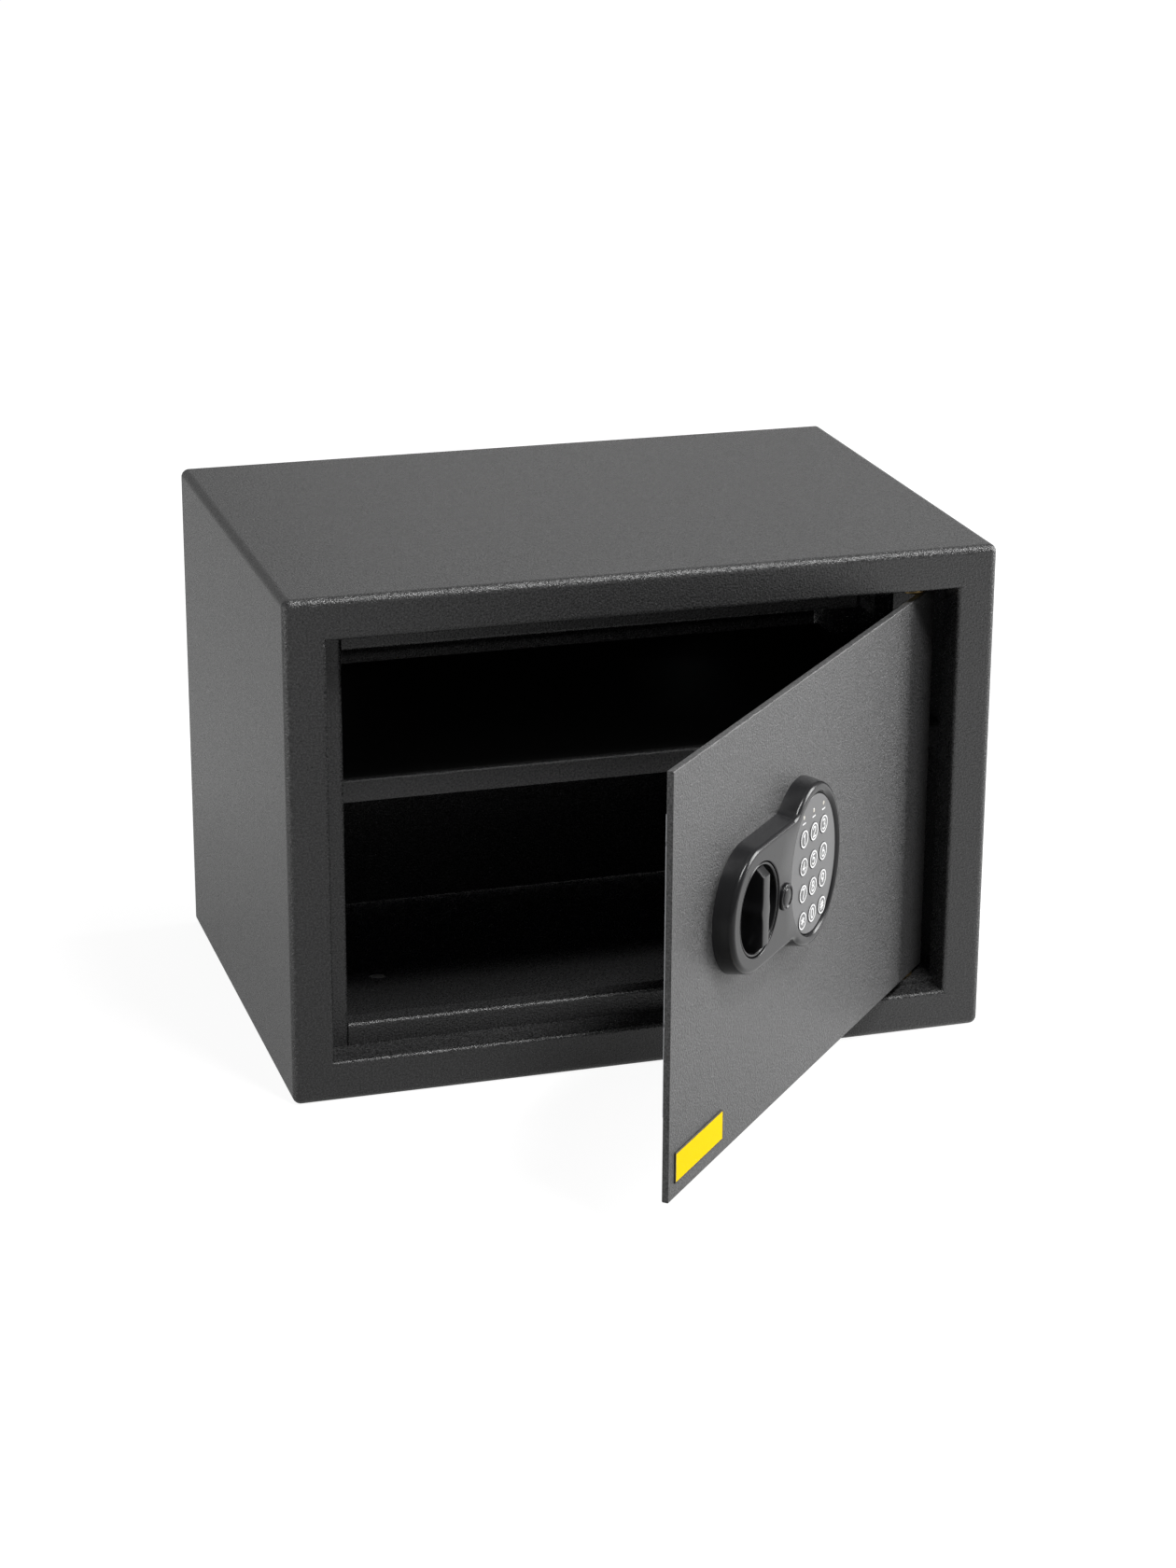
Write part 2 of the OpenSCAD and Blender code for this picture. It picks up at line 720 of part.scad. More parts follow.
// Crank disc on the knob's shaft, with its pin and its screw
module knob_cam() {
    color("#a9a9ad") on_door() translate([knob_x, panel_z, 0]) {
        difference() {
            peg(0, 0, cam_top - cam_t, cam_top, crank_r + crank_d/2 + 1.8);
            intersection() {
                peg(0, 0, cam_top - cam_t - 1, cam_top + 1, shaft_d/2 - 1.5 + run);
                translate([0, 0, cam_top - cam_t/2])
                    cube([shaft_d, shaft_d/2 + 2*run, cam_t + 2], center = true);
            }
        }
        rotate([0, 0, 45]) peg(crank_r, 0, crank_end, cam_top - cam_t/2, crank_d/2);
        peg(0, 0, cam_top - cam_t - screw_head + 0.3, cam_top - cam_t - 0.05, shaft_d/2);
        peg(0, 0, cam_top - cam_t - 0.5, back_h, 1.4);
    }
}

// Bent plate on the free edge of the door that carries both bolts
module bolt_guide() {
    z0 = cover_z0 + 4;
    z1 = cover_z1 - 4;
    color("#9a9b9e") on_door() difference() {
        union() {
            box(guide_x - 12, guide_in, z0, z1, back_h - guide_t, back_h);
            box(guide_x, guide_in, z0, z1, guide_bot, back_h);
        }
        for (s = [-1, 1])
            peg_x(guide_x - 1, guide_in + 1, panel_z + s*bolt_spread/2, bolt_h, bush_r);
    }
}

module bolt_bushes() {
    color("#d8d8d2") on_door() for (s = [-1, 1]) {
        z = panel_z + s*bolt_spread/2;
        difference() {
            union() {
                peg_x(guide_x, bush_end, z, bolt_h, bush_r - weld);
                peg_x(guide_in, guide_in + 1.2, z, bolt_h, bush_r + 0.6);
            }
            peg_x(guide_x - 1, bush_end + 1, z, bolt_h, bolt_d/2 + run);
        }
    }
}

// Rounded slot along the x axis
module slot(x0, x1, y, z0, z1, r) {
    peg(x0, y, z0, z1, r);
    peg(x1, y, z0, z1, r);
    box(x0, x1, y - r, y + r, z0, z1);
}

// Sliding plate with the crank slot, two guide slots, the arm with its notches and two bolt tabs
module bolt_carriage() {
    cx = knob_x + bolt_travel/2;
    cw = crank_d/2 + slot_gap;
    a = carriage_bot - 1;
    b = carriage_top + 1;
    color("#b5b5b8") on_door() difference() {
        union() {
            box(carriage_x, carriage_x1, panel_z - carriage_z, panel_z + carriage_z, carriage_bot, carriage_top);
            box(carriage_x1 - 1, arm_x1, arm_z0, arm_z1, carriage_bot, carriage_top);
            for (s = [-1, 1]) translate([0, panel_z + s*bolt_spread/2, 0])
                box(carriage_x, carriage_x + carriage_t, -bolt_d/2 - 0.5, bolt_d/2 + 0.5,
                    carriage_bot, bolt_h + bolt_d/2 - 0.1);
        }
        peg(cx, panel_z + bolt_travel/2 - 1, a, b, cw);
        peg(cx, panel_z + crank_r + 1, a, b, cw);
        box(cx - cw, cx + cw, panel_z + bolt_travel/2 - 1, panel_z + crank_r + 1, a, b);
        for (s = [-1, 1]) slot(post_x, post_x + bolt_travel, panel_z + s*post_z, a, b, post_r + 0.3);
        for (x = [sol_x, sol_x + bolt_travel])
            box(x - plunger_d/2 - 0.5, x + plunger_d/2 + 0.5, arm_z1 - plunger_drop, arm_z1 + 1, a, b);
        for (s = [-1, 1]) peg_x(carriage_x - 1, carriage_x + carriage_t + 1,
            panel_z + s*bolt_spread/2, bolt_h, bolt_d/4 + run);
    }
}

module locking_bolts() {
    color("#cfcfd2") on_door() for (s = [-1, 1]) translate([0, panel_z + s*bolt_spread/2, bolt_h]) {
        translate([bolt_tip, 0, 0]) rotate([0, 90, 0]) rotate_extrude()
            polygon([[0, 0], [bolt_d/2 - 2, 0], [bolt_d/2, 4.5], [bolt_d/2, bolt_len], [0, bolt_len]]);
        peg_x(carriage_x - 1, carriage_x + carriage_t, 0, 0, bolt_d/4);
        peg_x(carriage_x + carriage_t, carriage_x + carriage_t + 2, 0, 0, bolt_d/4 + 1.5);
    }
}

module guide_posts() {
    color("#9a9b9e") on_door() for (s = [-1, 1]) {
        peg(post_x, panel_z + s*post_z, carriage_bot - 0.4, back_h, post_r);
        peg(post_x, panel_z + s*post_z, carriage_bot - 1.7, carriage_bot - 0.3, post_r + 2);
    }
}

// Bent frame of the electric release
module solenoid_frame() {
    w = coil_r + 2.5;
    h = sol_h - coil_r - 0.5;
    color("#a9a9ad") on_door() difference() {
        union() {
            box(sol_x - w, sol_x + w, sol_z0, sol_z1 + frame_t, back_h - frame_t, back_h);
            box(sol_x - w, sol_x + w, sol_z0, sol_z0 + frame_t, h, back_h);
            box(sol_x - w, sol_x + w, sol_z1, sol_z1 + frame_t, h, back_h);
        }
        peg_y(sol_x, sol_z0 - 1, sol_z1 + frame_t + 1, sol_h, plunger_d/2 + 0.3);
    }
}

module solenoid_coil() {
    color("#7a3b20") on_door() difference() {
        union() {
            peg_y(sol_x, coil_z0, coil_z0 + coil_h, sol_h, coil_r);
            box(sol_x + 4, sol_x + coil_r + 3, coil_z0 + 10, coil_z0 + 18, board_h - board_t - 1, sol_h);
        }
        peg_y(sol_x, coil_z0 - 1, coil_z0 + coil_h + 1, sol_h, plunger_d/2 + 0.3);
    }
}

module solenoid_plunger() {
    color("#cfcfd2") on_door() {
        peg_y(sol_x, tip_z, coil_z0 + coil_h*0.7, sol_h, plunger_d/2);
        peg_y(sol_x, collar_z, collar_z + collar_t, sol_h, collar_r);
    }
}

// Coil spring between the collar and the frame, as one tube that follows a helix
spring_turns = 5;
spring_steps = 12;
module plunger_spring() {
    n = spring_turns*spring_steps;
    r = plunger_d/2 + 0.5 + spring_wire;
    w = spring_wire/2;
    run_l = spring_l - spring_wire - 0.1;
    pts = [for (i = [0:n], k = [0:5]) let (a = i*360/spring_steps, b = k*60,
        z = collar_z + collar_t + w + 0.05 + run_l*i/n + w*sin(b))
        [sol_x + (r + w*cos(b))*cos(a), z, sol_h + (r + w*cos(b))*sin(a)]];
    sides = [for (i = [0:n - 1], k = [0:5]) let (a = i*6 + k, b = i*6 + (k + 1)%6)
        each [[a, a + 6, b], [b, a + 6, b + 6]]];
    ends = [[for (k = [0:5]) k], [for (k = [5:-1:0]) n*6 + k]];
    color("#dddddf") on_door() polyhedron(points = pts, faces = concat(sides, ends));
}

// Barrel of the emergency lock
module lock_body() {
    color("#c9c9cc") on_door() difference() {
        union() {
            peg(lock_x, lock_z, tongue_top + 0.3, panel_h - 1.5, lock_d/2);
        }
        peg(lock_x, lock_z, tongue_top - 1, panel_h, lock_d/2 - 1.25 + run);
    }
}

module lock_nut() {
    color("#b5b5b8") on_door() difference() {
        translate([lock_x, lock_z, back_h - 4]) cylinder(h = 4, r = lock_d/2 + 2.9, $fn = 6);
        peg(lock_x, lock_z, back_h - 5, back_h + 1, lock_d/2 + run);
    }
}

// Turning plug with its keyway
module lock_plug() {
    color("#d9d9dc") on_door() difference() {
        union() {
            peg(lock_x, lock_z, tongue_top + 0.2, panel_h - 1.7, lock_d/2 - 1.25);
            peg(lock_x, lock_z, tongue_top - tongue_t - 0.4, tongue_top + 0.3, 2.5);
        }
        box(lock_x - 0.7, lock_x + 0.7, lock_z - 3.2, lock_z + 3.2, panel_h - 9, panel_h);
    }
}

// Tongue on the plug that reaches the plunger's collar when the key turns
module lock_cam() {
    z0 = tongue_top - tongue_t;
    color("#a9a9ad") on_door() difference() {
        union() {
            peg(lock_x, lock_z, z0, tongue_top, 4.5);
            slot(lock_x - tongue_r + 2.5, lock_x, lock_z, z0, tongue_top, 2.5);
        }
        peg(lock_x, lock_z, z0 - 1, tongue_top + 1, 2.5 + run);
    }
}

// Domed cap over the keyhole with a short plug
module key_cap() {
    k = cap_d/2;
    dome = (k*k + cap_h*cap_h)/2/cap_h;
    z0 = panel_h + seat;
    color("#1d1d1f") on_door() translate([lock_x, lock_z, 0]) {
        rotate_extrude() intersection() {
            translate([0, z0 + cap_h - dome]) circle(dome, $fn = 160);
            translate([0, z0]) square([k, cap_h + 1]);
        }
        peg(0, 0, panel_h - 1.3, z0 + 0.2, lock_d/2 - 0.3);
    }
}

// Control board with its parts
module circuit_board() {
    z = board_h - board_t;
    color("#2f6b3a") on_door() difference() {
        union() {
            box(board_x0, board_x1, board_z0, board_z1, z, board_h);
            box(board_x(0.4), board_x(0.6), board_z(0.42), board_z(0.61), z - 1.8, z + 0.5);
            box(board_x(0.27), board_x(0.39), board_z(0.17), board_z(0.25), z - 2.5, z + 0.5);
            peg(board_x(0.72), board_z(0.28), z - 4, z + 0.5, board_x(0.09) - board_x0);
            box(reset_x - 3, reset_x + 3, reset_z - 3, reset_z + 3, z - 1.2, z + 0.5);
        }
        for (p = board_at()) peg(p[0], p[1], z - 1, board_h + 1, 1.5);
    }
}

// Places on the control board, as shares of its sides
function board_x(f) = board_x0 + f*(board_x1 - board_x0);
function board_z(f) = board_z0 + f*(board_z1 - board_z0);
function board_at() = [for (x = [board_x0 + 4, board_x1 - 4], z = [board_z0 + 4, board_z1 - 4]) [x, z]];

module board_posts() {
    z = board_h - board_t;
    color("#e6e6e0") on_door() for (p = board_at()) {
        peg(p[0], p[1], board_h, back_h, 3);
        peg(p[0], p[1], z - 0.5, board_h + 0.5, 1.4);
        peg(p[0], p[1], z - 1.2, z, 2.4);
    }
}

// Leads from the cells and from the release's coil to the control board
module wire_leads() {
    h = board_h - board_t/2;
    color("#b02a20") on_door() {
        for (x = [tray_x0 + 14, tray_x0 + 18]) peg_y(x, tray_z1, board_z0, h, 0.7);
        for (z = [coil_z0 + 12, coil_z0 + 16]) peg_x(sol_x + coil_r + 3, board_x0, z, h, 0.7);
    }
}

// Block under the door with the cover's sloping side, whose faces lie t inside the outer ones
module cover_block(t, x0, x1, z0, z1, top) {
    fall = (slope_h - cover_out)/slope_w;
    start = slope_h + t*norm([1, fall]) - fall*(x0 - cover_x0);
    translate([0, z1, 0]) rotate([90, 0, 0]) linear_extrude(z1 - z0)
        polygon([[x0, top], [x0, start], [x0 + (start - cover_out - t)/fall, cover_out + t],
            [x1, cover_out + t], [x1, top]]);
}

// Steel cover over the lock work, open on the side of the bolt guide
module lock_cover() {
    w = tray_t + 1.5;
    color("#5c5d5f") on_door() difference() {
        cover_block(0, cover_x0, cover_x1, cover_z0, cover_z1, back_h);
        cover_block(cover_t, cover_x0 - 1, cover_x1 - cover_t, cover_z0 + cover_t, cover_z1 - cover_t, back_h + 1);
        box(tray_x0 + w, tray_x1 - w, tray_z0 + w, tray_z1 - w, cover_out - 1, cover_in + 1);
        peg(reset_x, reset_z, cover_out - 1, cover_in + 1, reset_d/2 + 0.3);
        for (p = cover_at) peg(p[0], p[1], cover_out - 1, cover_in + 1, 2.1);
    }
}

module cover_posts() {
    color("#9a9b9e") on_door() for (p = cover_at) difference() {
        peg(p[0], p[1], cover_in, back_h, cover_post_r);
        peg(p[0], p[1], cover_in - 1, cover_in + 9, 2);
    }
}

module cover_screws() {
    color("#b5b5b8") on_door() for (p = cover_at) {
        peg(p[0], p[1], cover_out - 0.1, cover_in + 8, 1.9);
        peg(p[0], p[1], cover_out - 1.8, cover_out, 3.8);
    }
}

module battery_tray() {
    color("#2a2a2c") on_door() difference() {
        box(tray_x0, tray_x1, tray_z0, tray_z1, cover_in, tray_floor + tray_t);
        box(tray_x0 + tray_t, tray_x1 - tray_t, tray_z0 + tray_t, tray_z1 - tray_t, cover_in - 1, tray_floor);
    }
}

function cell_z(k) = tray_z0 + tray_t + 0.2 + cell_pitch*(k + 0.5) - 0.1;
cell_x0 = tray_x0 + tray_t + 3.25;

// Four cells side by side, every second one turned round
module batteries() {
    color("#b88a3a") on_door() for (k = [0:3]) translate([cell_x0 + (cell_l + 1.5)/2, cell_z(k), cell_h])
        rotate([0, 0, k%2 == 0 ? 0 : 180]) {
            peg_x(-(cell_l + 1.5)/2, (cell_l - 1.5)/2, 0, 0, cell_d/2);
            peg_x((cell_l - 1.5)/2 - 0.5, (cell_l + 1.5)/2, 0, 0, 2.75);
        }
}

// Sprung contact plates at both ends of the cells
module battery_contacts() {
    color("#d0d0c8") on_door() for (k = [0:3], e = [0, 1]) {
        x = e == 0 ? tray_x0 + tray_t : tray_x1 - tray_t - 0.5;
        flip = (k + e)%2 == 0;
        box(x, x + 0.5, cell_z(k) - 5, cell_z(k) + 5, cell_h - 5, cell_h + 5);
        peg_x(e == 0 ? x + 0.4 : x - 2.65, e == 0 ? x + 3.15 : x + 0.1, cell_z(k), cell_h, flip ? 4 : 2.5);
    }
}

// Lid of the cells with a plug that fills the cover's window
module battery_cover() {
    w = tray_t + 1.8;
    z = cover_out - seat;
    color("#2a2a2c") on_door() difference() {
        union() {
            box(tray_x0 - 1, tray_x1 + 1, tray_z0 - 0.5, tray_z1 + 0.5, z - 1.5, z);
            box(tray_x0 + w, tray_x1 - w, tray_z0 + w, tray_z1 - w, z - 0.1, cover_in + 0.7);
        }
        box(tray_x0 + 22, tray_x1 - 22, tray_z1 - 4, tray_z1 + 1, z - 2, z - 0.8);
    }
}

module reset_button() {
    color("#b02a20") on_door() {
        peg(reset_x, reset_z, cover_out - 1.5, board_h - board_t - 1.2 - 0.2 - reset_travel, reset_d/2);
        peg(reset_x, reset_z, cover_in + 0.2, cover_in + 1.2, reset_d/2 + 1.2);
    }
}

// One key of the keypad by its column and row
module keypad_key(c, r) {
    color("#86878a") on_door()
        peg(key_x_at(c), key_z_at(r), board_top + key_travel + 0.2, pad_top + key_up, key_d/2);
}

cabinet_shell();
back_panel();
stop_strip_left();
stop_strip_top();
stop_strip_bottom();
shelf();
shelf_supports();
hinge_bracket_top();
hinge_bracket_bottom();
hinge_washers();
door_plate();
hinge_blocks();
hinge_pins();
label_plate();
panel_housing();
panel_screws();
keypad_face();
status_lenses();
keypad_board();
keypad_ribbon();
knob_bush();
bolt_guide();
bolt_bushes();
guide_posts();
solenoid_frame();
solenoid_coil();
lock_body();
lock_nut();
circuit_board();
board_posts();
wire_leads();
lock_cover();
cover_posts();
cover_screws();
battery_tray();
batteries();
battery_contacts();
knob();
knob_cam();
bolt_carriage();
locking_bolts();
solenoid_plunger();
plunger_spring();
lock_plug();
lock_cam();
key_cap();
battery_cover();
reset_button();
keypad_key(0, 0);  // key_1
keypad_key(1, 0);  // key_2
keypad_key(2, 0);  // key_3
keypad_key(0, 1);  // key_4
keypad_key(1, 1);  // key_5
keypad_key(2, 1);  // key_6
keypad_key(0, 2);  // key_7
keypad_key(1, 2);  // key_8
keypad_key(2, 2);  // key_9
keypad_key(0, 3);  // key_star
keypad_key(1, 3);  // key_0
keypad_key(2, 3);  // key_hash
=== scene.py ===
import json
import math

import bmesh
import bpy
import numpy as np
from bpy.props import FloatProperty, FloatVectorProperty, PointerProperty
from mathutils import Matrix, Vector, geometry

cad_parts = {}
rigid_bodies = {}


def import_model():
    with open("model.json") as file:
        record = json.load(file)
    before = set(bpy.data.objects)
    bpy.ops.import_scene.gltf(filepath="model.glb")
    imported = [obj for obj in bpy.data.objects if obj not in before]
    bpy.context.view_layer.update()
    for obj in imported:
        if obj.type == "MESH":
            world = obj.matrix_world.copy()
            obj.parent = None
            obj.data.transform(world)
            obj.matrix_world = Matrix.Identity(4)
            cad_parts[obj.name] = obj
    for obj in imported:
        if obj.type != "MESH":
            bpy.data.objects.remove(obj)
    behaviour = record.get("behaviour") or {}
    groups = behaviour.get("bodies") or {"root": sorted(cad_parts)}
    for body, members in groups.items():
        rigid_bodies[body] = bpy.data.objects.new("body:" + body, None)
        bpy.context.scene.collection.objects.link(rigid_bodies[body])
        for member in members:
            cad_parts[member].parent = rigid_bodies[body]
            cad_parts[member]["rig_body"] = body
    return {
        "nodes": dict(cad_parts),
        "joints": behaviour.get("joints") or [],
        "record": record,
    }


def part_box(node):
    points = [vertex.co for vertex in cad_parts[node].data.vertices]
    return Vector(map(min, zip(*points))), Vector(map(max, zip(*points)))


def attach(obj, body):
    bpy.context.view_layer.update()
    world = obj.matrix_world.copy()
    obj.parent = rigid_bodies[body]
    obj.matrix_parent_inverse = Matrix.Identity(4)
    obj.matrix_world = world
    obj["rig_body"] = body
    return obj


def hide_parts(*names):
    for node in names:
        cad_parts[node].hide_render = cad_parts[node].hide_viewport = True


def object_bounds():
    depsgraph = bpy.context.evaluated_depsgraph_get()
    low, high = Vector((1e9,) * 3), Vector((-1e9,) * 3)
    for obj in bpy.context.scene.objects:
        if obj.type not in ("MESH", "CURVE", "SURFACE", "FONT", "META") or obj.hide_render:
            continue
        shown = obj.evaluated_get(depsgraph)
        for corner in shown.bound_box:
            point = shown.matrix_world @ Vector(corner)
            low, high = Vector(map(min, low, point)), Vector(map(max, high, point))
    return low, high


bl_info = {
    "name": "Electronic safe",
    "version": (1, 0, 0),
    "blender": (4, 5, 0),
    "location": "View3D > Sidebar > Safe",
    "description": "Finishes a small steel safe with its lock panel, knob, keypad and paint",
    "category": "Add Mesh",
}

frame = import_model()
CAD_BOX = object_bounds()
SLOTS = {row["node"]: row["material_slot"] for row in frame["record"]["subparts"]}

# The door's hinge, and the angle by which the door stands open at rest
HINGE = next(j for j in frame["joints"] if j["name"] == "door_hinge")
OPEN = math.radians(-HINGE["range_deg"][0])
PIVOT = HINGE["pos_m"]

# Points closer than the first length are one point, and edges shorter than the second one go
SAME_POINT = 1e-6
NO_LENGTH = 1e-7

# Radius to which a turned profile shrinks at its axis, where its points then merge into one
TIP = 1e-7

# Printed marks: their place in a piece's list of materials, and the heights along their section
PRINT = 1
PRINT_SECTION = (-0.0001, 0.000024, 0.00004, 0.00004, 0.000024, -0.0001)

# CAD nodes that get rounded edges: the node, the new piece and the rounding's width
SHEET_PARTS = [
    ("door_plate", "door_leaf", 0.0006),
    ("shelf", "shelf_board", 0.0003),
    ("lock_cover", "lock_housing", 0.0004),
    ("battery_cover", "battery_lid_cover", 0.0004),
]

# The point at which the camera aims, and how far its picture is moved, as shares of its width
TARGET = Vector((0.032463, 0.0025, 0.117349))
LENS_SHIFT = (-50.0 / 1260, -35.5 / 1260)

# The lamps: name, place, the point at which each aims, width and height
LAMPS = [
    ("top_lamp", (0.2, 0.25, 1.7), (0, 0, 0.15), 1.0, 0.8),
    ("edge_lamp", (0.49, -0.85, 1.66), (0, -0.12, 0.2), 0.8, 0.3),
    ("left_lamp", (-1.1, -0.2, 0.15), (-0.1, -0.02, 0.1), 0.5, 0.25),
    ("right_lamp", (2.1, -0.12, 0.8), (0, -0.2, 0.12), 0.8, 1.2),
    ("back_lamp", (0.7, 1.4, 0.75), (0.05, 0, 0.25), 1.2, 0.5),
]


class PanelSizes(bpy.types.PropertyGroup):
    """Sizes of the lock panel, measured from the knob's axis."""
    axis_x: FloatProperty(name="Knob axis, across", default=-0.0803, unit="LENGTH",
                          description="Place of the knob's axis along the door")
    axis_z: FloatProperty(name="Knob axis, up", default=0.1388, unit="LENGTH",
                          description="Height of the knob's axis over the ground")
    pin_back: FloatProperty(name="Hinge axis depth", default=0.0075, unit="LENGTH",
                            description="Hinge axis behind the door's front face")
    rise: FloatProperty(name="Height", default=0.0095, unit="LENGTH",
                        description="Height of the panel over the door")
    knob_end: FloatProperty(name="Knob end", default=0.0304, unit="LENGTH",
                            description="Radius of the end that holds the knob")
    pad_in: FloatProperty(name="Keypad distance", default=0.0623, unit="LENGTH",
                          description="Distance from the knob's axis to the keypad")
    pad_end_x: FloatProperty(name="Keypad end, half width", default=0.033, unit="LENGTH",
                             description="Half width of the keypad end")
    pad_end_z: FloatProperty(name="Keypad end, half height", default=0.040, unit="LENGTH",
                             description="Half height of the keypad end")
    hollow: FloatProperty(name="Hollow radius", default=0.008, unit="LENGTH",
                          description="Radius of the hollow curve between both ends")
    draft: FloatProperty(name="Draft", default=0.0012, unit="LENGTH",
                         description="How far the side leans in")
    edge: FloatProperty(name="Edge", default=0.0025, unit="LENGTH",
                        description="Rounding of the front edge")
    bore: FloatProperty(name="Bore", default=0.0217, unit="LENGTH",
                        description="Radius of the bore round the knob")
    lock_x: FloatProperty(name="Keyhole, across", default=0.0283, unit="LENGTH",
                          description="Keyhole from the knob's axis, across")
    lock_z: FloatProperty(name="Keyhole, up", default=-0.0038, unit="LENGTH",
                          description="Keyhole from the knob's axis, up")
    colour: FloatVectorProperty(name="Colour", default=(0.012, 0.012, 0.013), subtype="COLOR",
                                description="Colour of the panel's plastic", min=0, max=1)


class KnobSizes(bpy.types.PropertyGroup):
    """Sizes of the knob."""
    radius: FloatProperty(name="Radius", default=0.0214, unit="LENGTH",
                          description="Radius of the knob")
    lip: FloatProperty(name="Lip", default=0.0015, unit="LENGTH",
                       description="Width of the ring round the cup")
    rim: FloatProperty(name="Rim height", default=0.0091, unit="LENGTH",
                       description="Height of the ring over the door")
    floor: FloatProperty(name="Floor height", default=0.0026, unit="LENGTH",
                         description="Height of the cup's floor over the door")
    vane: FloatProperty(name="Vane width", default=0.007, unit="LENGTH",
                        description="Width of the grip vane")
    vane_top: FloatProperty(name="Vane height", default=0.0125, unit="LENGTH",
                            description="Height of the vane over the door")


class KeypadSizes(bpy.types.PropertyGroup):
    """Sizes of the keypad."""
    half_x: FloatProperty(name="Half width", default=0.0265, unit="LENGTH",
                          description="Half width of the pad")
    half_z: FloatProperty(name="Half height", default=0.033, unit="LENGTH",
                          description="Half height of the pad")
    top: FloatProperty(name="Height", default=0.0085, unit="LENGTH",
                       description="Height of the pad over the door")
    foot: FloatProperty(name="Foot", default=0.0035, unit="LENGTH",
                        description="Height of the pad's underside")
    key: FloatProperty(name="Key radius", default=0.0043, unit="LENGTH", description="Radius of a key")
    key_up: FloatProperty(name="Key rise", default=0.0004, unit="LENGTH",
                          description="Height of a key over the pad")
    pitch_x: FloatProperty(name="Pitch, across", default=0.0113, unit="LENGTH",
                           description="Distance between two columns")
    pitch_z: FloatProperty(name="Pitch, up", default=0.0132, unit="LENGTH",
                           description="Distance between two rows")
    lens: FloatProperty(name="Lens radius", default=0.0011, unit="LENGTH",
                        description="Radius of a status lens")
    digit: FloatProperty(name="Digit height", default=0.0046, unit="LENGTH",
                         description="Height of the digits")
    stroke: FloatProperty(name="Stroke", default=0.00076, unit="LENGTH",
                          description="Width of a printed stroke")


class PaintLook(bpy.types.PropertyGroup):
    """Colours of the paint and of the printed marks."""
    cabinet: FloatVectorProperty(name="Cabinet", default=(0.032, 0.032, 0.0325), subtype="COLOR",
                                 description="Colour of the cabinet's powder coat", min=0, max=1)
    # The door's coat is lighter than the cabinet's: partly painted light, for the light that falls on the
    # door
    door: FloatVectorProperty(name="Door", default=(0.058, 0.058, 0.0585), subtype="COLOR",
                              description="Colour of the door's powder coat", min=0, max=1)
    shelf: FloatVectorProperty(name="Shelf", default=(0.06, 0.06, 0.061), subtype="COLOR",
                               description="Colour of the shelf's paint", min=0, max=1)
    pad: FloatVectorProperty(name="Keypad", default=(0.115, 0.115, 0.117), subtype="COLOR",
                             description="Colour of the keypad", min=0, max=1)
    print: FloatVectorProperty(name="Print", default=(0.9, 0.9, 0.9), subtype="COLOR",
                               description="Colour of rings and digits", min=0, max=1)
    label: FloatVectorProperty(name="Label", default=(0.98, 0.67, 0.0), subtype="COLOR",
                               description="Colour of the bare label plate", min=0, max=1)
    grain: FloatProperty(name="Grain", default=0.00095, unit="LENGTH",
                         description="Size of the powder coat's grain", precision=5)


class StageLook(bpy.types.PropertyGroup):
    """Camera and light."""
    azimuth: FloatProperty(name="Azimuth", default=math.radians(-17.659), subtype="ANGLE",
                           description="Turn of the camera about the object")
    elevation: FloatProperty(name="Elevation", default=math.radians(19.141), subtype="ANGLE",
                             description="Height angle of the camera")
    roll: FloatProperty(name="Roll", default=math.radians(0.545), subtype="ANGLE",
                        description="Turn of the camera about its view")
    distance: FloatProperty(name="Distance", default=1.83015, unit="LENGTH",
                            description="Distance of the camera from its target")
    lens: FloatProperty(name="Lens", default=109.493,
                        description="Focal length in millimetres on a sensor of 36")
    top_lamp: FloatProperty(name="Top lamp", default=1.5, description="Watts of the lamp above")
    edge_lamp: FloatProperty(name="Edge lamp", default=30.0,
                             description="Watts of the strip that lights the front top bend")
    left_lamp: FloatProperty(name="Left lamp", default=2.8, description="Watts of the lamp at the left")
    right_lamp: FloatProperty(name="Right lamp", default=51.0,
                              description="Watts of the lamp at the right")
    back_lamp: FloatProperty(name="Back lamp", default=0.9,
                             description="Watts of the lamp behind, for sheen")
    fill: FloatProperty(name="Fill", default=0.03, description="Strength of the light from all sides")
    mirrored: FloatProperty(name="Mirrored room", default=0.36,
                            description="Strength of the room in reflections")
    floor_glow: FloatProperty(name="Floor to the eye", default=0.93,
                              description="Strength of the near floor to the camera")
    floor_mirrored: FloatProperty(name="Mirrored floor", default=0.4,
                                  description="Floor's strength in reflections, left")
    floor_bright: FloatProperty(name="Bright mirrored floor", default=0.95,
                                description="Floor's strength in reflections, right")


def sizes():
    """The panel's, knob's and keypad's property groups."""
    scene = bpy.context.scene
    return scene.safe_panel, scene.safe_knob, scene.safe_keypad


def on_door(points):
    """Moves points from the shut door's own frame to their place on the open door, by a turn about the
    hinge. The first value runs along the door, the second stands out of its front face and the third
    runs up."""
    along = points[..., 0] - PIVOT[0]
    deep = -points[..., 1] - bpy.context.scene.safe_panel.pin_back
    cosine, sine = math.cos(OPEN), math.sin(OPEN)
    x = PIVOT[0] + cosine * along - sine * deep
    y = PIVOT[1] + sine * along + cosine * deep
    return np.stack([x, y, points[..., 2]], -1)


def skin(points, close=False, material=0):
    """Quads over a grid of points, each between two rows and two columns. With close, the last column
    joins the first."""
    rows, columns = points.shape[:2]
    index = np.arange(rows * columns).reshape(rows, columns)
    if close:
        index = np.concatenate([index, index[:, :1]], 1)
    quads = np.stack([index[:-1, :-1], index[:-1, 1:], index[1:, 1:], index[1:, :-1]], -1)
    return points.reshape(-1, 3), quads.reshape(-1, 4), material


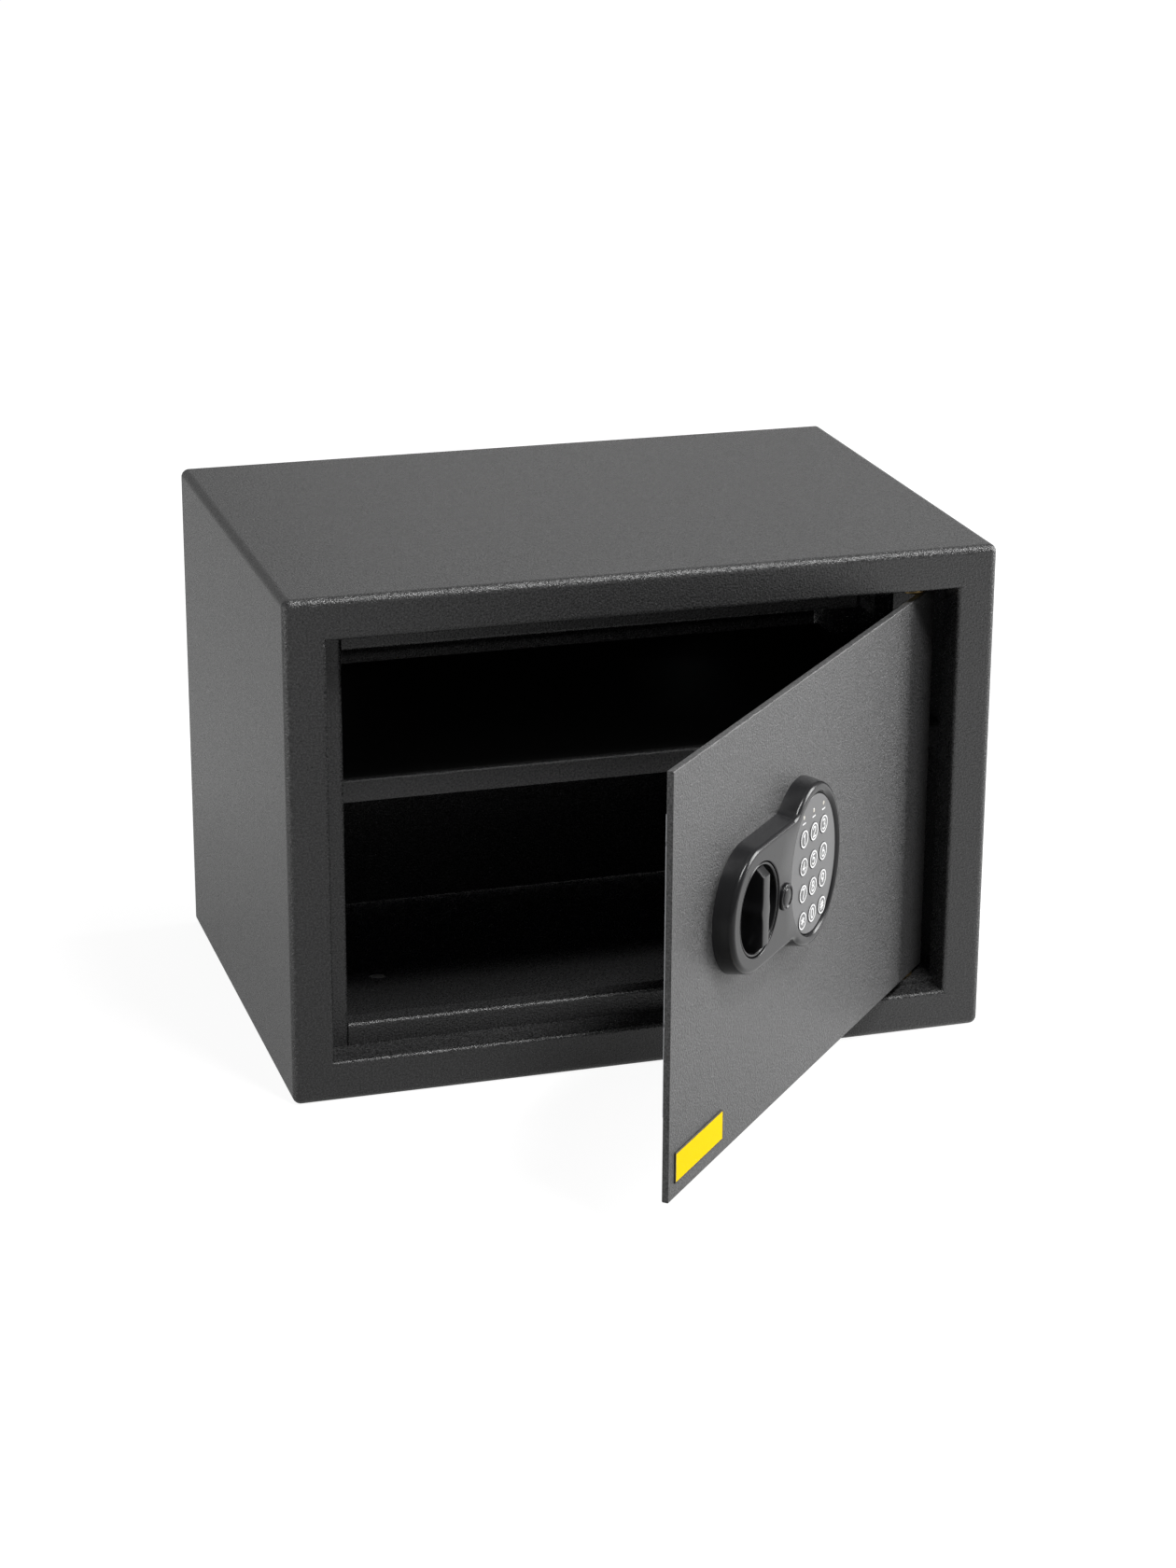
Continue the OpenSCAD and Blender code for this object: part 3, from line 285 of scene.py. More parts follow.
def spun(profile, turns, centre, material=0):
    """Turns a profile of (radius, height) about an axis square to the door: each point is the centre plus
    the radius times the cosine and the sine of its angle."""
    angle = np.linspace(0, 2 * math.pi, turns, endpoint=False)
    radius, height = np.asarray(profile, float).T
    x = centre[0] + radius[:, None] * np.cos(angle)
    z = centre[1] + radius[:, None] * np.sin(angle)
    return skin(np.stack([x, np.broadcast_to(height[:, None], x.shape), z], -1), True, material)


def arc(x, y, radius_x, radius_y, start, end, count=12):
    """Points on an ellipse's arc: the centre plus each radius times the cosine or the sine of angles in
    degrees."""
    angle = np.radians(np.linspace(start, end, count))
    return np.stack([x + radius_x * np.cos(angle), y + radius_y * np.sin(angle)], -1)


def circle(x, z, radius, count=64, radius_z=None):
    """A closed ring of points: the centre plus the radius times the cosine and the sine. It is an ellipse
    where the radius upwards is given too."""
    angle = np.linspace(0, 2 * math.pi, count, endpoint=False)
    high = radius if radius_z is None else radius_z
    return np.stack([x + radius * np.cos(angle), z + high * np.sin(angle)], -1)


def oval(panel, pad, grow, count):
    """Ellipse round the keypad's centre, grown by one length, or by a length for each point."""
    centre = (panel.axis_x + panel.pad_in, panel.axis_z)
    return circle(*centre, pad.half_x + grow, count, pad.half_z + grow)


def ring_at(ring, height):
    """A row of points over a flat ring at one height."""
    level = np.full(len(ring), height)
    return np.stack([ring[:, 0], level, ring[:, 1]], -1)


def inside(points, ring):
    """Tells for each point whether a straight line from it to one side crosses the ring an odd number of
    times."""
    x, y = points[:, 0, None], points[:, 1, None]
    ax, ay = ring[:, 0], ring[:, 1]
    bx, by = np.roll(ax, -1), np.roll(ay, -1)
    # A level side is never crossed, so its step only has to be other than zero
    step = np.where(by == ay, 1e-12, by - ay)
    crosses = ((ay > y) != (by > y)) & (x < (bx - ax) * (y - ay) / step + ax)
    return crosses.sum(1) % 2 == 1


def flat(outer, holes, height, material=0):
    """A level face inside a ring, less its holes, filled with triangles."""
    rings = [outer, *holes]
    edges = []
    start = 0
    for ring in rings:
        count = len(ring)
        edges += [(start + k, start + (k + 1) % count) for k in range(count)]
        start += count
    corners = [Vector(point) for ring in rings for point in ring]
    inner_triangles, tolerance = 1, 1e-9
    points, _, faces, *_ = geometry.delaunay_2d_cdt(corners, edges, [], inner_triangles, tolerance)
    points = np.array([tuple(point) for point in points])
    faces = np.array([face for face in faces if len(face) == 3])
    middle = points[faces].mean(1)
    keep = inside(middle, outer)
    for hole in holes:
        keep &= ~inside(middle, hole)
    return ring_at(points, height), faces[keep], material


def placed(name, data):
    """A new object of the scene that shows a mesh, a lamp or a camera."""
    thing = bpy.data.objects.new(name, data)
    bpy.context.scene.collection.objects.link(thing)
    return thing


def piece(name, patches, body, materials, hides, sharp=32):
    """Joins patches into one closed mesh that rides on a body and stands in for CAD nodes. An edge is
    sharp where its faces turn by more than that many degrees."""
    points, starts, loops, kinds = [], [], [], []
    point_count = corner_count = 0
    for patch, faces, kind in patches:
        points.append(patch)
        loops.append(faces.ravel() + point_count)
        starts.append(corner_count + faces.shape[1] * np.arange(len(faces)))
        kinds.append(np.full(len(faces), kind))
        point_count += len(patch)
        corner_count += faces.size
    points = on_door(np.concatenate(points))
    loops, starts, kinds = np.concatenate(loops), np.concatenate(starts), np.concatenate(kinds)
    mesh = bpy.data.meshes.new(name)
    mesh.vertices.add(len(points))
    mesh.vertices.foreach_set("co", points.ravel())
    mesh.loops.add(len(loops))
    mesh.loops.foreach_set("vertex_index", loops)
    mesh.polygons.add(len(starts))
    mesh.polygons.foreach_set("loop_start", starts)
    mesh.polygons.foreach_set("material_index", kinds)
    mesh.update(calc_edges=True)
    mesh.validate()
    made = bmesh.new()
    made.from_mesh(mesh)
    bmesh.ops.remove_doubles(made, verts=made.verts, dist=SAME_POINT)
    bmesh.ops.dissolve_degenerate(made, edges=made.edges, dist=NO_LENGTH)
    bmesh.ops.recalc_face_normals(made, faces=made.faces)
    made.to_mesh(mesh)
    made.free()
    mesh.polygons.foreach_set("use_smooth", np.ones(len(mesh.polygons), bool))
    mesh.set_sharp_from_angle(angle=math.radians(sharp))
    for material in materials:
        mesh.materials.append(bpy.data.materials[material])
    thing = placed(name, mesh)
    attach(thing, body)
    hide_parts(*hides)


def softened(node, name, width):
    """A copy of a CAD node whose hard edges are rounded by a bevel of that width."""
    source = frame["nodes"][node]
    mesh = source.data.copy()
    mesh.name = name
    made = bmesh.new()
    made.from_mesh(mesh)
    bmesh.ops.remove_doubles(made, verts=made.verts, dist=SAME_POINT)
    bmesh.ops.dissolve_limit(made, angle_limit=math.radians(0.5), verts=made.verts, edges=made.edges)
    made.to_mesh(mesh)
    made.free()
    mesh.polygons.foreach_set("use_smooth", np.ones(len(mesh.polygons), bool))
    thing = placed(name, mesh)
    bevel = thing.modifiers.new("Rounded edges", "BEVEL")
    bevel.width = width
    bevel.segments = 3
    bevel.limit_method = "ANGLE"
    bevel.angle_limit = math.radians(40)
    bevel.use_clamp_overlap = False
    even = thing.modifiers.new("Even shading", "WEIGHTED_NORMAL")
    even.weight = 100
    even.keep_sharp = True
    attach(thing, source["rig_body"])
    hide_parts(node)


def feed(tree, node, inputs):
    """Fills a node's inputs. Each gets either a value or the socket that feeds it."""
    for key, value in inputs.items():
        if isinstance(value, bpy.types.NodeSocket):
            tree.links.new(value, node.inputs[key])
        else:
            node.inputs[key].default_value = value


def add(tree, kind, inputs=None, **settings):
    """Adds one shader node with its settings and inputs."""
    node = tree.nodes.new(kind)
    for key, value in settings.items():
        setattr(node, key, value)
    feed(tree, node, inputs or {})
    return node


def maths(tree, operation, first, second=0.0, third=0.0, clamp=False):
    """One Math node's result."""
    inputs = {0: first, 1: second, 2: third}
    return add(tree, "ShaderNodeMath", inputs, operation=operation, use_clamp=clamp).outputs[0]


def ranged(tree, value, low, high, start=0.0, end=1.0):
    """A value mapped from low and high to start and end, and held there beyond them."""
    inputs = {"Value": value, "From Min": low, "From Max": high, "To Min": start, "To Max": end}
    return add(tree, "ShaderNodeMapRange", inputs).outputs["Result"]


def noise(tree, point, size, detail, roughness=0.5):
    """Noise from 0 to 1 whose lumps are about as wide as size."""
    scale = maths(tree, "DIVIDE", 1.0, size)
    inputs = {"Vector": point, "Scale": scale, "Detail": detail, "Roughness": roughness}
    return add(tree, "ShaderNodeTexNoise", inputs).outputs["Fac"]


def shader_group(name, inputs, outputs):
    """An empty node group with named sockets, its input sockets and its output node."""
    tree = bpy.data.node_groups.new(name, "ShaderNodeTree")
    for title, kind, value in inputs:
        socket = tree.interface.new_socket(title, in_out="INPUT", socket_type="NodeSocket" + kind)
        if value is not None:
            socket.default_value = value
    for title, kind in outputs:
        tree.interface.new_socket(title, in_out="OUTPUT", socket_type="NodeSocket" + kind)
    return tree, add(tree, "NodeGroupInput").outputs, add(tree, "NodeGroupOutput")


def grain_group():
    """Fine bumps of a powder coat, and flecks where they stand high."""
    tree, given, result = shader_group(
        "Powder grain",
        [("Point", "Vector", None), ("Size", "Float", 0.0009)],
        [("Height", "Float"), ("Fleck", "Float")])
    bumps = noise(tree, given["Point"], given["Size"], 2.0, 0.6)
    feed(tree, result, {"Height": bumps, "Fleck": ranged(tree, bumps, 0.3, 0.7)})


def tone_group():
    """Slow cloudy change of tone, 1 on average."""
    tree, given, result = shader_group(
        "Cloudy tone",
        [("Point", "Vector", None), ("Size", "Float", 0.05), ("Spread", "Float", 0.06)],
        [("Tone", "Float")])
    centred = maths(tree, "SUBTRACT", noise(tree, given["Point"], given["Size"], 3.0), 0.5)
    feed(tree, result, {"Tone": maths(tree, "MULTIPLY_ADD", centred, given["Spread"], 1.0)})


def brushed_group():
    """Fine lines along the third axis, as drawn or brushed metal has."""
    tree, given, result = shader_group(
        "Brushed lines",
        [("Point", "Vector", None), ("Size", "Float", 0.0003), ("Stretch", "Float", 40.0)],
        [("Height", "Float"), ("Tone", "Float")])
    split = add(tree, "ShaderNodeSeparateXYZ", {0: given["Point"]}).outputs
    along = maths(tree, "DIVIDE", split[2], given["Stretch"])
    joined = add(tree, "ShaderNodeCombineXYZ", {0: split[0], 1: split[1], 2: along})
    lines = noise(tree, joined.outputs[0], given["Size"], 3.0)
    feed(tree, result, {"Height": lines, "Tone": maths(tree, "MULTIPLY_ADD", lines, 0.3, 0.85)})


def wear_group():
    """Rubbed outer edges, broken up by noise: 0 on flats and up to 1 on a worn edge."""
    tree, given, result = shader_group(
        "Edge wear",
        [("Point", "Vector", None), ("Amount", "Float", 0.5)],
        [("Mask", "Float")])
    edge = ranged(tree, add(tree, "ShaderNodeNewGeometry").outputs["Pointiness"], 0.52, 0.62)
    spots = add(tree, "ShaderNodeTexNoise", {"Vector": given["Point"], "Scale": 900.0, "Detail": 3.0})
    broken = maths(tree, "MULTIPLY", edge, spots.outputs["Fac"])
    feed(tree, result, {"Mask": maths(tree, "MULTIPLY", broken, given["Amount"], clamp=True)})


def use(tree, name, **inputs):
    """Places a shader group in a material and gives its outputs."""
    return add(tree, "ShaderNodeGroup", inputs, node_tree=bpy.data.node_groups[name]).outputs


def emptied(holder):
    """The node tree of a material or a world, with nothing left in it."""
    holder.use_nodes = True
    holder.node_tree.nodes.clear()
    return holder.node_tree


def new_material(name):
    """The named material, emptied, with a new Principled node and the object coordinates."""
    tree = emptied(bpy.data.materials.get(name) or bpy.data.materials.new(name))
    shader = add(tree, "ShaderNodeBsdfPrincipled")
    add(tree, "ShaderNodeOutputMaterial", {"Surface": shader.outputs[0]})
    point = add(tree, "ShaderNodeTexCoord").outputs["Object"]
    return tree, shader, point


def tinted(tree, colour, *factors):
    """A colour times one or more values."""
    product = factors[0]
    for factor in factors[1:]:
        product = maths(tree, "MULTIPLY", product, factor)
    return add(tree, "ShaderNodeVectorMath", {0: colour, "Scale": product}, operation="SCALE").outputs[0]


def surface(tree, shader, colour, roughness, height, strength, depth):
    """Feeds a material's colour and roughness, and a bump made from a height."""
    bump = add(tree, "ShaderNodeBump", {"Height": height, "Strength": strength, "Distance": depth})
    feed(tree, shader, {"Base Color": colour, "Roughness": roughness, "Normal": bump.outputs[0]})


def powder(name, colour, grain, rough):
    """Textured powder coat: grain in its bump, light flecks and a cloudy tone."""
    contrast, rough_spread, depth = 1.6, 0.12, 0.00045
    tree, shader, point = new_material(name)
    bumps = use(tree, "Powder grain", Point=point, Size=grain)
    cloud = use(tree, "Cloudy tone", Point=point, Size=0.06, Spread=0.10)
    light = maths(tree, "MULTIPLY_ADD", bumps["Fleck"], contrast, 1 - contrast / 2)
    paint = tinted(tree, colour[:], light, cloud["Tone"])
    roughness = maths(tree, "MULTIPLY_ADD", bumps["Fleck"], rough_spread, rough - rough_spread / 2)
    surface(tree, shader, paint, roughness, bumps["Height"], 1.0, depth)
    return tree, shader, point


def moulded(name, colour, rough, wear=0.3, spread=0.08, gloss=0.5):
    """Moulded plastic: a fine skin, slight clouds in its tone and roughness, and rubbed edges."""
    grain, depth = 0.0004, 0.00001
    tree, shader, point = new_material(name)
    cloud = use(tree, "Cloudy tone", Point=point, Size=0.02, Spread=spread)
    rubbed = use(tree, "Edge wear", Point=point, Amount=wear)
    bumps = use(tree, "Powder grain", Point=point, Size=grain)
    lighter = maths(tree, "MULTIPLY_ADD", rubbed["Mask"], 1.5, 1.0)
    plastic = tinted(tree, colour[:], cloud["Tone"], lighter)
    roughness = maths(tree, "MULTIPLY", cloud["Tone"], rough)
    surface(tree, shader, plastic, roughness, bumps["Height"], 0.3, depth)
    shader.inputs["Specular IOR Level"].default_value = gloss
    return tree, shader, point


def metal(name, colour, rough, size=0.0003, turn=(0, 0, 0), stretch=40.0):
    """Bare metal with brushed lines along its third axis, turned as told."""
    rough_spread, depth = 0.2, 0.00001
    tree, shader, point = new_material(name)
    turned = add(tree, "ShaderNodeMapping", {"Vector": point, "Rotation": turn})
    lines = use(tree, "Brushed lines", Point=turned.outputs[0], Size=size, Stretch=stretch)
    cloud = use(tree, "Cloudy tone", Point=point, Size=0.015, Spread=0.12)
    bare = tinted(tree, colour, lines["Tone"], cloud["Tone"])
    roughness = maths(tree, "MULTIPLY_ADD", lines["Height"], rough_spread, rough - rough_spread / 2)
    surface(tree, shader, bare, roughness, lines["Height"], 0.15, depth)
    shader.inputs["Metallic"].default_value = 1.0


def shelf_coat(look):
    """Dark paint with the cabinet's grain on the turned-down lip, and duller and plainer on the shelf's
    top, where it is also darker as painted shade."""
    tree, shader, point = powder("shelf_paint", look.shelf, look.grain, 0.4)
    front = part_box("shelf")[0].y + 0.0025
    change = 0.002
    away = add(tree, "ShaderNodeSeparateXYZ", {0: point}).outputs[1]
    top = ranged(tree, away, front, front + change)
    paint = shader.inputs["Base Color"].links[0].from_socket
    bump = shader.inputs["Normal"].links[0].from_node
    # Painted shade: the shelf's top is darkened to 0.15 of the lip's colour
    painted_shade_on_top = maths(tree, "MULTIPLY_ADD", top, -0.85, 1.0)
    duller = maths(tree, "MULTIPLY_ADD", top, 0.23, 0.42)
    feed(tree, shader, {"Base Color": tinted(tree, paint, painted_shade_on_top), "Roughness": duller})
    feed(tree, bump, {"Strength": maths(tree, "MULTIPLY_ADD", top, -0.4, 0.5)})


def board_mask():
    """Green solder mask with thin lighter tracks."""
    green = (0.015, 0.11, 0.035)
    tree, shader, point = moulded("board_green", green, 0.35)
    inputs = {"Vector": point, "Scale": 160.0, "Distortion": 6.0, "Detail": 1.0}
    wave = add(tree, "ShaderNodeTexWave", inputs).outputs["Fac"]
    light = maths(tree, "MULTIPLY_ADD", ranged(tree, wave, 0.75, 0.8), 0.5, 0.9)
    feed(tree, shader, {"Base Color": tinted(tree, green, light)})


class SAFE_OT_finishes(bpy.types.Operator):
    """Make the paints, plastics and metals and put them on the CAD nodes"""
    bl_idname = "safe.finishes"
    bl_label = "Paints and metals"

    def execute(self, context):
        look = context.scene.safe_paint
        for make in (grain_group, tone_group, brushed_group, wear_group):
            make()
        powder("cabinet_paint", look.cabinet, look.grain, 0.27)
        # The door's lighter colour is partly painted light
        powder("door_paint", look.door, look.grain, 0.36)
        shelf_coat(look)
        moulded("panel_black", context.scene.safe_panel.colour, 0.21, gloss=0.22)
        moulded("black_plastic", (0.016, 0.016, 0.017), 0.45)
        moulded("keypad_grey", look.pad, 0.38, wear=0.0, spread=0.04)
        moulded("print_white", look.print, 0.5, wear=0.0, spread=0.04)
        moulded("label_yellow", look.label, 0.5, wear=0.0, spread=0.04, gloss=0.05)
        # label_edge: the plate's dark edge, partly painted shade of its thickness
        moulded("label_edge", (0.02, 0.018, 0.01), 0.5, wear=0.0)
        moulded("nylon", (0.72, 0.71, 0.66), 0.5)
        moulded("lens", (0.55, 0.53, 0.47), 0.15, wear=0.0)
        moulded("ribbon_grey", (0.26, 0.27, 0.29), 0.5)
        moulded("wire_red", (0.33, 0.012, 0.008), 0.35)
        board_mask()
        moulded("cell", (0.28, 0.2, 0.05), 0.28, wear=0.2)
        metal("steel", (0.55, 0.55, 0.56), 0.32)
        metal("zinc", (0.5, 0.51, 0.53), 0.4, size=0.0008, stretch=3.0)
        metal("chrome", (0.75, 0.75, 0.77), 0.16)
        metal("brass", (0.34, 0.24, 0.1), 0.45)
        metal("coil", (0.5, 0.2, 0.08), 0.3, size=0.0005, turn=(0, math.radians(90), 0))
        for node, thing in frame["nodes"].items():
            thing.data.materials.clear()
            thing.data.materials.append(bpy.data.materials[SLOTS[node]])
        return {"FINISHED"}


class SAFE_OT_soft_edges(bpy.types.Operator):
    """Round the hard edges of the sheet parts"""
    bl_idname = "safe.soft_edges"
    bl_label = "Sheet parts"

    def execute(self, context):
        for node, name, width in SHEET_PARTS:
            softened(node, name, width)
        return {"FINISHED"}


def panel_outline(panel, inset=0.0):
    """The panel's outline: a half circle round the knob, two straight sides, two hollow curves and an
    ellipse round the keypad. The angle at which a hollow curve leaves the ellipse is found by halving its
    range until the curve's top lies on the straight side. A positive inset shrinks the outline along its
    outward normals."""
    half_x, half_z = panel.pad_end_x, panel.pad_end_z
    end, hollow = panel.knob_end, panel.hollow

    def ellipse(angle):
        return np.stack([panel.pad_in + half_x * np.cos(angle), half_z * np.sin(angle)], -1)

    def ellipse_out(angle):
        normal = np.stack([half_z * np.cos(angle), half_x * np.sin(angle)], -1)
        return normal / np.linalg.norm(normal, axis=-1, keepdims=True)

    low, high = math.radians(90), math.radians(180)
    for _ in range(40):
        middle = (low + high) / 2
        if ellipse(middle)[1] + hollow * ellipse_out(middle)[1] > end + hollow:
            low = middle
        else:
            high = middle
    join = (low + high) / 2
    centre = ellipse(join) + hollow * ellipse_out(join)
    meet = math.atan2(-ellipse_out(join)[1], -ellipse_out(join)[0])
    turn = np.linspace(math.radians(90), math.radians(270), 60)
    knob = end * np.stack([np.cos(turn), np.sin(turn)], -1)
    bend = np.linspace(meet, -math.radians(90), 14)
    upper = centre + hollow * np.stack([np.cos(bend), np.sin(bend)], -1)
    upper_out = (centre - upper) / hollow
    flip = np.array([1, -1])
    lower, lower_out = upper[::-1] * flip, upper_out[::-1] * flip
    span = np.linspace(-join, join, 110)[1:-1]
    share = np.linspace(0, 1, 12)[1:-1, None]
    low_side = knob[-1] + share * (lower[0] - knob[-1])
    high_side = upper[-1] + share * (knob[0] - upper[-1])
    down = np.broadcast_to([0.0, -1.0], low_side.shape)
    points = np.concatenate([knob, low_side, lower, ellipse(span), upper, high_side])
    out = np.concatenate([knob / end, down, lower_out, ellipse_out(span), upper_out, -down])
    return points - inset * out + np.array([panel.axis_x, panel.axis_z])


class SAFE_OT_lock_panel(bpy.types.Operator):
    """Build the moulded lock panel"""
    bl_idname = "safe.lock_panel"
    bl_label = "Lock panel"

    def execute(self, context):
        panel, _, pad = sizes()
        knob_at = (panel.axis_x, panel.axis_z)
        lock_at = (panel.axis_x + panel.lock_x, panel.axis_z + panel.lock_z)
        land = 0.0003

        # The wall is the outline at rising heights: it leans in by the draft, rounds off in a quarter
        # circle and ends in a narrow flat land
        top = panel.rise - panel.edge
        shares = np.array([0.3, 0.6, 0.9])
        turn = np.radians(np.linspace(0, 90, 11))
        heights = [0.0, *(top * shares), *(top + panel.edge * np.sin(turn)), panel.rise]
        insets = [0.0, *(panel.draft * shares), *(panel.draft + panel.edge * (1 - np.cos(turn))),
                  panel.draft + panel.edge + land]
        rows = [ring_at(panel_outline(panel, i), h) for i, h in zip(insets, heights)]

        # The knob's bore has a rounded lip, and the keyhole's bore a chamfer
        lip = 0.0006
        mouth = panel.bore + lip + land
        bore = [(mouth, panel.rise), *arc(panel.bore + lip, panel.rise - lip, lip, lip, 90, 180, 6),
                (panel.bore, 0.0)]
        lock_r, chamfer = 0.0056, 0.0002
        lock = [(lock_r + chamfer, panel.rise), (lock_r, panel.rise - chamfer), (lock_r, 0.0)]

        # The keypad's pocket is a row of ovals: its slope is widest on the side away from the knob
        narrow, wider, rim, play = 0.0006, 0.0019, 0.0004, 0.0002
        angle = np.linspace(0, 2 * math.pi, 160, endpoint=False)
        slope = narrow + wider * np.clip(0.5 + 0.75 * np.cos(angle), 0, 1)
        steps = [(slope + rim, panel.rise), (slope, panel.rise - 0.00008),
                 (slope * 0.5, panel.rise - 0.0007), (play + 0.0001, pad.top - 0.0006),
                 (play, pad.top - 0.001), (play, 0.0)]
        pocket = [ring_at(oval(panel, pad, grow, 160), h) for grow, h in steps]

        mouths = [circle(*knob_at, mouth, 120), circle(*lock_at, lock_r + chamfer),
                  oval(panel, pad, slope + rim, 160)]
        feet = [circle(*knob_at, panel.bore, 120), circle(*lock_at, lock_r), oval(panel, pad, play, 160)]
        face = flat(panel_outline(panel, insets[-1]), mouths, panel.rise)
        base = flat(panel_outline(panel), feet, 0.0)
        patches = [skin(np.stack(rows), True), spun(bore, 120, knob_at), spun(lock, 64, lock_at),
                   skin(np.stack(pocket), True), face, base]
        piece("lock_panel", patches, "door", ["panel_black"], ["panel_housing"])
        return {"FINISHED"}


class SAFE_OT_knob(bpy.types.Operator):
    """Build the cupped knob with its grip vane"""
    bl_idname = "safe.knob"
    bl_label = "Knob"

    def execute(self, context):
        panel, knob, _ = sizes()
        centre = (panel.axis_x, panel.axis_z)
        r, low = knob.radius, knob.floor
        inner = r - knob.lip

        # The cup is a profile turned about the axis: floor, round corner, wall, round lip, outer side,
        # and the stem that reaches into the door
        corner, soft = 0.003, knob.lip / 2
        wall_top, foot, chamfer = knob.rim - 0.0006, 0.0006, 0.0002
        stem, stem_end = 0.005, -0.005
        cup = [(TIP, low), *((share * (inner - corner), low) for share in (0.3, 0.6, 0.9)),
               *arc(inner - corner, low + corner, corner, corner, -90, 0, 8), (inner, wall_top),
               *arc(r - soft, knob.rim - soft, soft, soft, 180, 0, 13),
               (r, foot + chamfer), (r - chamfer, foot), (stem, foot), (stem, stem_end), (TIP, stem_end)]

        # The vane is a section with rounded upper edges, carried along its length. It swells round the
        # middle as a bell curve, and its crown falls straight near both ends
        length, taper = inner - 0.0002, 0.0035
        swell, reach = 0.0009, 0.0032
        edge, root = 0.0005, low - 0.001
        along = length * np.concatenate([[-1.0], np.linspace(-0.985, 0.985, 61), [1.0]])
        crown = knob.vane_top - np.clip(np.abs(along) - (length - taper), 0, 1)
        half = knob.vane / 2 + swell * np.exp(-(along / reach) ** 2)
        turn = np.radians(np.linspace(180, 90, 6))[1:]
        left = [(-half, root + (crown - edge - root) * share) for share in (0.0, 0.35, 0.7, 1.0)]
        left += [(-half + edge + edge * math.cos(a), crown - edge + edge * math.sin(a)) for a in turn]
        across = np.stack([p[0] for p in left] + [-p[0] for p in left[::-1]])
        heights = np.stack([p[1] for p in left] + [p[1] for p in left[::-1]])
        lengths = np.broadcast_to(centre[1] + along, across.shape)
        grid = np.stack([centre[0] + across, heights, lengths], -1)
        half_way = len(left)
        ends = [skin(np.stack([grid[:half_way, k], grid[half_way:, k][::-1]])) for k in (0, -1)]
        under = skin(np.stack([grid[0], grid[-1]]))
        piece("grip_knob", [spun(cup, 120, centre), skin(grid), *ends, under], "knob",
              ["panel_black"], ["knob"], sharp=28)
        return {"FINISHED"}


def strokes():
    """The pen paths of each key's mark, in a box one unit high about its centre. The keys come row by row
    from the top left."""
    loop = arc(0, -0.2, 0.29, 0.3, 0, 360, 25)
    tail = arc(0.28, -0.2, 0.57, 0.62, 180, 115)
    paths = {
        "1": [[(-0.2, 0.28), (0.04, 0.5), (0.04, -0.5)]],
        "2": [[*arc(0, 0.22, 0.28, 0.28, 165, -35), (-0.29, -0.5), (0.31, -0.5)]],
        "3": [[*arc(-0.02, 0.25, 0.26, 0.25, 150, -80), *arc(-0.02, -0.23, 0.3, 0.27, 80, -150)]],
        "4": [[(0.12, -0.5), (0.12, 0.5), (-0.32, -0.17), (0.32, -0.17)]],
        "5": [[(0.26, 0.5), (-0.2, 0.5), (-0.26, 0.02), *arc(-0.02, -0.18, 0.3, 0.32, 115, -145)]],
        "6": [loop, tail],
        "7": [[(-0.28, 0.5), (0.3, 0.5), (-0.06, -0.5)]],
        "8": [arc(0, 0.25, 0.24, 0.24, 0, 360, 25), arc(0, -0.24, 0.29, 0.26, 0, 360, 25)],
        "9": [-loop, -tail],
        "star": [[(0, 0.38), (0, -0.38)], [(-0.34, 0.2), (0.34, -0.2)], [(-0.34, -0.2), (0.34, 0.2)]],
        "0": [arc(0, 0, 0.29, 0.5, 0, 360, 33)],
        "hash": [[(-0.12, 0.42), (-0.2, -0.42)], [(0.2, 0.42), (0.12, -0.42)],
                 [(-0.36, 0.15), (0.36, 0.15)], [(-0.36, -0.15), (0.36, -0.15)]],
    }
    return {name: [np.array(path, float) for path in lines] for name, lines in paths.items()}


def ribbon(path, width, x, z, height):
    """A raised print line: a low section is carried along the path, and its sides are the path moved by
    half the width along its mitred normals. Open ends reach a little past the path's ends."""
    overrun, sharpest = 0.35 * width, 0.5
    step = np.diff(path, axis=0)
    path = path[np.concatenate([[True], np.linalg.norm(step, axis=1) > SAME_POINT])]
    way = np.diff(path, axis=0)
    way = way / np.linalg.norm(way, axis=1, keepdims=True)
    closed = np.linalg.norm(path[0] - path[-1]) < SAME_POINT
    before = np.concatenate([way[-1:] if closed else way[:1], way])
    after = np.concatenate([way, way[:1] if closed else way[-1:]])
    mitre = np.stack([-(before + after)[:, 1], (before + after)[:, 0]], -1)
    normal = np.stack([-before[:, 1], before[:, 0]], -1)
    side = mitre / np.maximum((mitre * normal).sum(1, keepdims=True), sharpest) * width / 2
    if not closed:
        path[0] -= way[0] * overrun
        path[-1] += way[-1] * overrun
    shares = (-1, -1, -0.7, 0.7, 1, 1)
    grid = np.stack([ring_at(path + share * side + np.array([x, z]), height + lift)
                     for share, lift in zip(shares, PRINT_SECTION)], 1)
    if closed:
        return [skin(np.concatenate([grid[:-1], grid[:1]]), material=PRINT)]
    ends = [skin(np.stack([grid[k, :3], grid[k, 5:2:-1]]), material=PRINT) for k in (0, -1)]
    return [skin(grid, material=PRINT), *ends]


def print_ring(x, z, inner, outer, height):
    """A printed ring: a low section turned about its centre."""
    shares = np.array([0, 0, 0.25, 0.75, 1, 1])
    profile = np.stack([inner + shares * (outer - inner), height + np.array(PRINT_SECTION)], -1)
    return spun(profile, 48, (x, z), PRINT)


